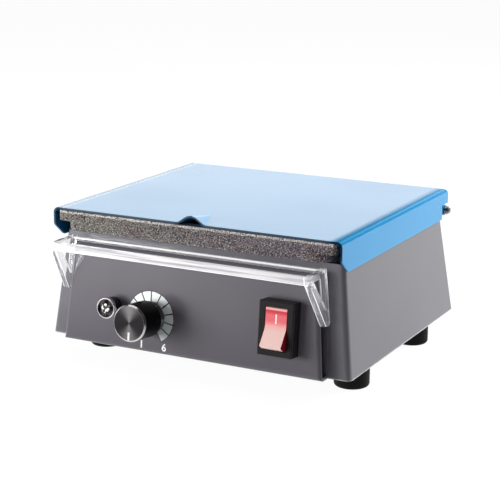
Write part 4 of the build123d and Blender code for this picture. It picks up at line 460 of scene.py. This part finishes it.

# ---- thermostat knob ----
# Black moulded skirt with a disc of spun aluminium let into its face and a white filled pointer line, held on
# the thermostat's shaft by a grub screw. The disc's turning marks are rings, and its bevel glints all round.
# Its two light fans, above and below its centre, are painted highlight, and its dark sides between them are
# painted shade.
FACE_RADIUS = 9.45 * MM
BEVEL = 0.8 * MM
RING_WIDTH = 0.16 * MM
GROOVE_PITCH = 0.3 * MM
black_skirt = Finish("black_knob_moulding", Roughness=0.4, IOR=1.4, Specular_IOR_Level=0.1)
black_skirt.feed(
    Base_Color=black_skirt.blend(black_skirt.noise(4 * MM, 3), tone(3, 3, 4), tone(8, 7, 9)),
    Normal=black_skirt.bump(black_skirt.noise(0.25 * MM, 2), 8e-6),
)
dress(black_skirt, "knob")

knob_joint = next(joint for joint in frame["joints"] if joint["name"] == "knob_turn")
knob_centre = Vector(knob_joint["pos_m"])
panel_out = -Vector(knob_joint["axis"]).normalized()
panel_side = Vector((1, 0, 0))
panel_up = panel_out.cross(panel_side)
FACE_ON = (math.pi / 2 + math.atan2(panel_out.z, -panel_out.y), 0, 0)

spun = Finish("spun_aluminium", Metallic=1.0)
face_x, face_y, _ = spun.parts(spun.place(centre=knob_centre, turn=FACE_ON))
radius = (face_x * face_x + face_y * face_y) ** 0.5
# painted highlight and shade: light fans above and below the centre, dark sides between them
painted_fans = (face_y / radius) ** 2
painted_fans = painted_fans * painted_fans * painted_fans
rings = spun.noise(RING_WIDTH, 1, spun.node("CombineXYZ", {}, {0: radius, 1: 0.0, 2: 0.0}))
disc = spun.blend(painted_fans, tone(44, 42, 44), tone(150, 147, 148))
disc = spun.blend(rings * 0.5, disc, tone(70, 68, 70))
bevel = spun.band(radius, FACE_RADIUS - BEVEL, FACE_RADIUS - BEVEL * 0.8)
grooves = spun.math("SINE", radius * (2 * math.pi / GROOVE_PITCH))
spun.feed(
    Base_Color=spun.blend(bevel, disc, tone(222, 222, 224)),
    Roughness=0.24 + rings * 0.1 - bevel * 0.1,
    Normal=spun.bump(grooves * 0.5, 8e-6),
)
dress(spun, "knob_cap")


def two_tone(name, size, first, second, **constants):
    """A plain stuff: cloudy noise of a size mixes two near tones."""
    made = Finish(name, **constants)
    made.feed(Base_Color=made.blend(made.noise(size), first, second))
    return made


white_line = two_tone(
    "white_pointer_filling", 1 * MM, tone(238, 238, 234), tone(225, 225, 222), Roughness=0.4)
dress(white_line, "knob_pointer")

# ---- dial scale ----
# Screen-printed ring of twelve pale fields on a black ground round the knob, from the lowest to the highest
# heat setting, with a white number at each end. The ink stands on the panel's enamel.
SCALE_FIELDS = 12
SCALE_SPAN = math.radians(300)
SCALE_INNER = 7.0 * MM
SCALE_OUTER = 13.5 * MM
SCALE_GAP = 0.65 * MM
SCALE_RIM = 0.3 * MM
INK = 0.05 * MM
NUMBER_HEIGHT = 4.0 * MM
NUMBER_DROP = -14.8 * MM
FIGURE_SHARE = 0.73
STROKE_SHARE = 0.03


def on_panel(side, up, lift):
    """Points of the panel's face: distances to the side and up its slope from the knob's axis, and a lift
    off it."""
    side, up, lift = np.broadcast_arrays(side, up, lift)
    place = np.array(knob_centre) + side[..., None] * np.array(panel_side)
    return place + up[..., None] * np.array(panel_up) + lift[..., None] * np.array(panel_out)


def sheets(name, points, finish, body, thickness):
    """Adds an object from sheets of points [sheet, row, column, xyz]: each sheet's grid becomes quads, which
    get a thickness outwards."""
    count, rows, columns = points.shape[:3]
    number = np.arange(count * rows * columns).reshape(count, rows, columns)
    quads = np.stack(
        [number[:, :-1, :-1], number[:, 1:, :-1], number[:, 1:, 1:], number[:, :-1, 1:]], -1).reshape(-1, 4)
    mesh = bpy.data.meshes.new(name)
    mesh.from_pydata(points.reshape(-1, 3).tolist(), [], quads.tolist())
    mesh.materials.append(finish.material)
    made = bpy.data.objects.new(name, mesh)
    bpy.context.scene.collection.objects.link(made)
    wall = made.modifiers.new("thickness", "SOLIDIFY")
    wall.thickness = thickness
    wall.offset = 1
    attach(made, body)


# black ground ring first, then the pale fields with a gap between each pair
around = np.linspace(-SCALE_SPAN / 2, SCALE_SPAN / 2, 97)[None, :, None]
ground_reach = np.linspace(SCALE_INNER - 2 * SCALE_RIM, SCALE_OUTER + SCALE_RIM, 3)[None, None, :]
ground = on_panel(ground_reach * np.sin(around), ground_reach * np.cos(around), 0 * around * ground_reach)
ground_ink = two_tone(
    "black_scale_ink", 2 * MM, tone(20, 20, 22), tone(30, 30, 33), Roughness=0.5, Specular_IOR_Level=0.3)
sheets("dial_ground", ground, ground_ink, "base", INK)

field = np.arange(SCALE_FIELDS)[:, None, None]
turn_share = np.linspace(0, 1, 13)[None, :, None]
reach = np.linspace(SCALE_INNER, SCALE_OUTER, 3)[None, None, :]
gap_angle = SCALE_GAP / reach
start = -SCALE_SPAN / 2 + SCALE_SPAN / SCALE_FIELDS * field + gap_angle / 2
angle = start + (SCALE_SPAN / SCALE_FIELDS - gap_angle) * turn_share
fields = on_panel(reach * np.sin(angle), reach * np.cos(angle), 0 * angle + INK)
ink = Finish("pale_scale_ink", Roughness=0.35)
ink_x, _, ink_z = ink.parts(ink.place(centre=knob_centre))
# painted shade: the pale fields turn greyer towards the lower right
shade_to_lower_right = ink.band(ink_x - ink_z, -12 * MM, 16 * MM)
grainy = ink.noise(0.4 * MM, 2)
ink.feed(Base_Color=ink.blend(shade_to_lower_right + grainy * 0.2, tone(250, 254, 252), tone(196, 202, 202)))
sheets("dial_scale", fields, ink, "base", INK)


def print_text(name, words, height, place, finish):
    """Adds printed characters as thick as their ink: made a mesh, then laid on the panel at [side, up]."""
    curve = bpy.data.curves.new(name, "FONT")
    curve.body = words
    curve.size = height / FIGURE_SHARE
    curve.align_x = "CENTER"
    curve.align_y = "CENTER"
    curve.resolution_u = 4
    curve.offset = height * STROKE_SHARE
    curve.extrude = INK / 2
    writing = bpy.data.objects.new(name, curve)
    bpy.context.scene.collection.objects.link(writing)
    bpy.context.view_layer.update()
    mesh = bpy.data.meshes.new_from_object(writing.evaluated_get(bpy.context.evaluated_depsgraph_get()))
    bpy.data.objects.remove(writing)
    flat = np.zeros(len(mesh.vertices) * 3, np.float32)
    mesh.vertices.foreach_get("co", flat)
    flat = flat.reshape(-1, 3)
    laid = on_panel(flat[:, 0] + place[0], flat[:, 1] + place[1], flat[:, 2] + INK / 2)
    mesh.vertices.foreach_set("co", laid.astype(np.float32).ravel())
    mesh.materials.clear()
    mesh.materials.append(finish.material)
    made = bpy.data.objects.new(name, mesh)
    bpy.context.scene.collection.objects.link(made)
    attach(made, "base")


figure_ink = two_tone("white_figure_ink", 0.5 * MM, tone(250, 250, 250), tone(228, 228, 228), Roughness=0.35)
print_text("scale_number_low", "1", NUMBER_HEIGHT, (-4.7 * MM, NUMBER_DROP), figure_ink)
print_text("scale_number_high", "6", NUMBER_HEIGHT, (8.7 * MM, NUMBER_DROP), figure_ink)

# ---- pilot lamp ----
# Panel lamp: black moulded barrel, a thin chromed ring and a dark moulded lens, unlit, held by a nut behind
# the panel. The lens is cut in small facets, and the white glints on them near its middle are painted
# highlight.
LENS_FACET = 1.15 * MM
SPARKS_END = 2.9 * MM
SPARKS_FULL = 2.2 * MM
SEGMENTS_START = 2.6 * MM
SEGMENTS_FULL = 3.4 * MM
SEGMENTS = 4
SEGMENT_TWIST = 0.5 / MM
FACET_SHIFT = Vector((0.3 * MM, 0, 0.2 * MM))
black_gloss = two_tone(
    "black_gloss_moulding", 3 * MM, tone(12, 11, 13), tone(20, 19, 22), Roughness=0.22, IOR=1.5)
dress(black_gloss, "pilot_lamp_body")
chrome = two_tone("chrome_plate", 2 * MM, tone(222, 222, 226), tone(235, 235, 238), Metallic=1.0)
chrome.feed(Roughness=0.06 + chrome.noise(0.6 * MM, 3) * 0.08)
dress(chrome, "pilot_lamp_ring")
lens_low, lens_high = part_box("pilot_lamp_lens")
lens_centre = (lens_low + lens_high) / 2
lens = Finish("dark_lens", IOR=1.5)
lens_x, lens_y, _ = lens.parts(lens.place(centre=lens_centre, turn=FACE_ON))
lens_radius = (lens_x * lens_x + lens_y * lens_y) ** 0.5
lens_turn = lens.math("ARCTAN2", lens_y, lens_x)
segment = lens.math("SINE", lens_turn * SEGMENTS + lens_radius * SEGMENT_TWIST)
facet = lens.cells(LENS_FACET, lens.place(centre=lens_centre + FACET_SHIFT))
# painted highlight: white glints on the facets near the lens's middle
painted_glint = lens.band(facet, 0.52, 0.62) * lens.band(lens_radius, SPARKS_END, SPARKS_FULL)
outer = lens.band(segment, 0.3, 0.0) * lens.band(lens_radius, SEGMENTS_START, SEGMENTS_FULL)
dark_lens = lens.blend(outer * 0.7, tone(24, 18, 20), tone(88, 78, 78))
lens.feed(Base_Color=lens.blend(painted_glint, dark_lens, tone(240, 238, 236)), Roughness=0.05 + painted_glint * 0.3)
dress(lens, "pilot_lamp_lens")

# ---- power switch ----
# Snap-in rocker switch: black nylon body and bezel, and a translucent red rocker with a printed bar for on.
# The rocker turns deeper red towards its top. Its pale lower face and the pale line along its top are painted
# highlight, its deep red side walls are painted shade, and its faint glow in its own colour is painted light.
ROCKER_HALF = 5.85 * MM
PALE_FROM = 4.5 * MM
PALE_FULL = -1.5 * MM
DEEP_FROM = 6.5 * MM
DEEP_FULL = 8.6 * MM
TOP_LINE = 9.35 * MM
BAR_HALF = 0.36 * MM
BAR_LOW = 2.75 * MM
BAR_HIGH = 7.45 * MM
FADE = 0.15 * MM
bezel = Finish("black_nylon", IOR=1.4, Roughness=0.45, Specular_IOR_Level=0.6)
bezel.feed(
    Base_Color=bezel.blend(bezel.noise(5 * MM, 3), tone(17, 14, 16), tone(24, 21, 24)),
    Normal=bezel.bump(bezel.noise(0.3 * MM, 2), 8e-6),
)
dress(bezel, "switch_body")
rocker_low, rocker_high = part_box("rocker")
red = Finish("red_rocker_painted_light", Roughness=0.16, IOR=1.5)
rocker_x, _, rocker_z = red.parts(red.place(centre=(rocker_low + rocker_high) / 2))
aside = abs(rocker_x)
# painted highlight: the face turns pale towards its lower end
face_red = red.blend(red.band(rocker_z, PALE_FROM, PALE_FULL), tone(214, 92, 100), tone(232, 196, 190))
face_red = red.blend(red.band(rocker_z, DEEP_FROM, DEEP_FULL), face_red, tone(190, 40, 56))
# painted highlight: a pale line along the top
face_red = red.blend(red.band(rocker_z, TOP_LINE - FADE, TOP_LINE + FADE), face_red, tone(222, 158, 154))
bar = red.band(aside, BAR_HALF + FADE * 0.4, BAR_HALF - FADE * 0.4)
bar = bar * red.band(rocker_z, BAR_LOW - FADE, BAR_LOW + FADE)
bar = bar * red.band(rocker_z, BAR_HIGH + FADE, BAR_HIGH - FADE)
face_red = red.blend(bar, face_red, tone(246, 220, 218))
# painted shade: the side walls turn deep red
wall = red.band(aside, ROCKER_HALF - 0.25 * MM, ROCKER_HALF - 0.1 * MM)
rocker_colour = red.blend(wall, face_red, tone(120, 14, 30))
# painted light: the rocker glows faintly in its own colour
red.feed(Base_Color=rocker_colour, Emission_Color=rocker_colour, Emission_Strength=0.12)
dress(red, "rocker")

# ---- feet ----
# Moulded black rubber feet with a rounded lower edge, a little dusty on the side. Each is held by a screw
# sunk in it from below, with its nut inside the housing.
rubber = Finish("black_rubber", IOR=1.48, Specular_IOR_Level=0.15)
dust = rubber.band(rubber.noise(3 * MM, 5, rough=0.7), 0.5, 0.75)
rubber.feed(
    Base_Color=rubber.blend(dust, tone(8, 8, 9), tone(19, 18, 19)),
    Roughness=0.55 + dust * 0.2,
    Normal=rubber.bump(rubber.noise(0.5 * MM, 3), 30e-6),
)
dress(rubber, "foot_front_left", "foot_front_right", "foot_rear_left", "foot_rear_right")


# ---- bright and plain metal fittings ----
# Screws, nuts and pins are zinc-plated, the rod, brackets and shaft are plain rolled or drawn steel, and the
# terminals are tinned brass. The marks run along each part as it was drawn or rolled.
def metal(name, light, dark, roughness, stretch):
    """Rolled or plated metal: noise stretched along the rolling direction changes its tone and gloss."""
    made = Finish(name, Metallic=1.0)
    streak = made.noise(0.4 * MM, 3, made.place(scale=stretch))
    blotch = made.noise(6 * MM, 3)
    made.feed(
        Base_Color=made.blend(streak * 0.6 + blotch * 0.4, dark, light),
        Roughness=roughness + streak * 0.12,
        Normal=made.bump(streak, 4e-6),
    )
    return made


dress(
    metal("zinc_plate", tone(206, 208, 210), tone(168, 170, 174), 0.28, (1, 1, 1)),
    "block_screws", "bracket_nuts", "bracket_screws", "clamp_screws", "cutout_screws", "foot_nuts",
    "foot_screws", "inlet_nuts", "inlet_pins", "inlet_screws", "knob_set_screw", "leaf_rivets",
    "panel_screws", "pilot_lamp_nut", "pillar_screws", "shield_pillars", "thermostat_nut",
    "thermostat_washer",
)
dress(
    metal("rolled_steel", tone(178, 178, 180), tone(140, 140, 143), 0.32, (0.1, 1, 1)),
    "hinge_rod", "hinge_brackets", "hinge_caps", "thermostat_shaft",
)
dress(
    metal("bright_sheet", tone(196, 196, 196), tone(160, 160, 160), 0.3, (1, 0.08, 1)),
    "heat_shield", "element_clamp",
)
dress(
    metal("tinned_brass", tone(226, 204, 150), tone(186, 160, 104), 0.26, (1, 1, 1)),
    "cutout_terminals", "earth_nut", "earth_stud", "element_tabs", "pilot_lamp_terminals",
    "switch_terminals", "terminal_screws", "thermostat_terminals",
)
dress(
    metal("copper_tube", tone(206, 140, 104), tone(150, 92, 66), 0.3, (1, 1, 1)),
    "capillary_tube", "thermostat_bulb",
)


# ---- insulation and mouldings inside ----
# Fibre board under the element's clamp, a woven gasket under the block's shoulder, the element's mica
# laminate, and steatite and phenolic mouldings, each plain and dry. The mains inlet is glossy black.
def dry(name, light, dark, size, depth, roughness):
    """A dry, unpainted stuff: two tones in lumps of a size, with a relief of the same lumps."""
    made = Finish(name, Roughness=roughness)
    lump = made.noise(size, 4, rough=0.6)
    made.feed(Base_Color=made.blend(made.band(lump, 0.3, 0.7), dark, light), Normal=made.bump(lump, depth))
    return made


dress(
    dry("ceramic_fibre_board", tone(236, 233, 224), tone(214, 210, 198), 1.2 * MM, 0.15 * MM, 0.9),
    "insulation_pad",
)
dress(dry("woven_gasket", tone(190, 184, 172), tone(138, 132, 122), 0.8 * MM, 0.2 * MM, 0.9), "block_gasket")
dress(
    dry("mica_laminate", tone(160, 148, 124), tone(118, 106, 86), 4 * MM, 0.02 * MM, 0.45),
    "heating_element",
)
dress(
    dry("steatite", tone(236, 232, 222), tone(222, 216, 204), 2 * MM, 0.02 * MM, 0.5),
    "terminal_block", "thermal_cutout",
)
dress(dry("phenolic", tone(196, 184, 154), tone(178, 166, 136), 3 * MM, 0.01 * MM, 0.45), "thermostat_body")
dress(black_gloss, "inlet_body")
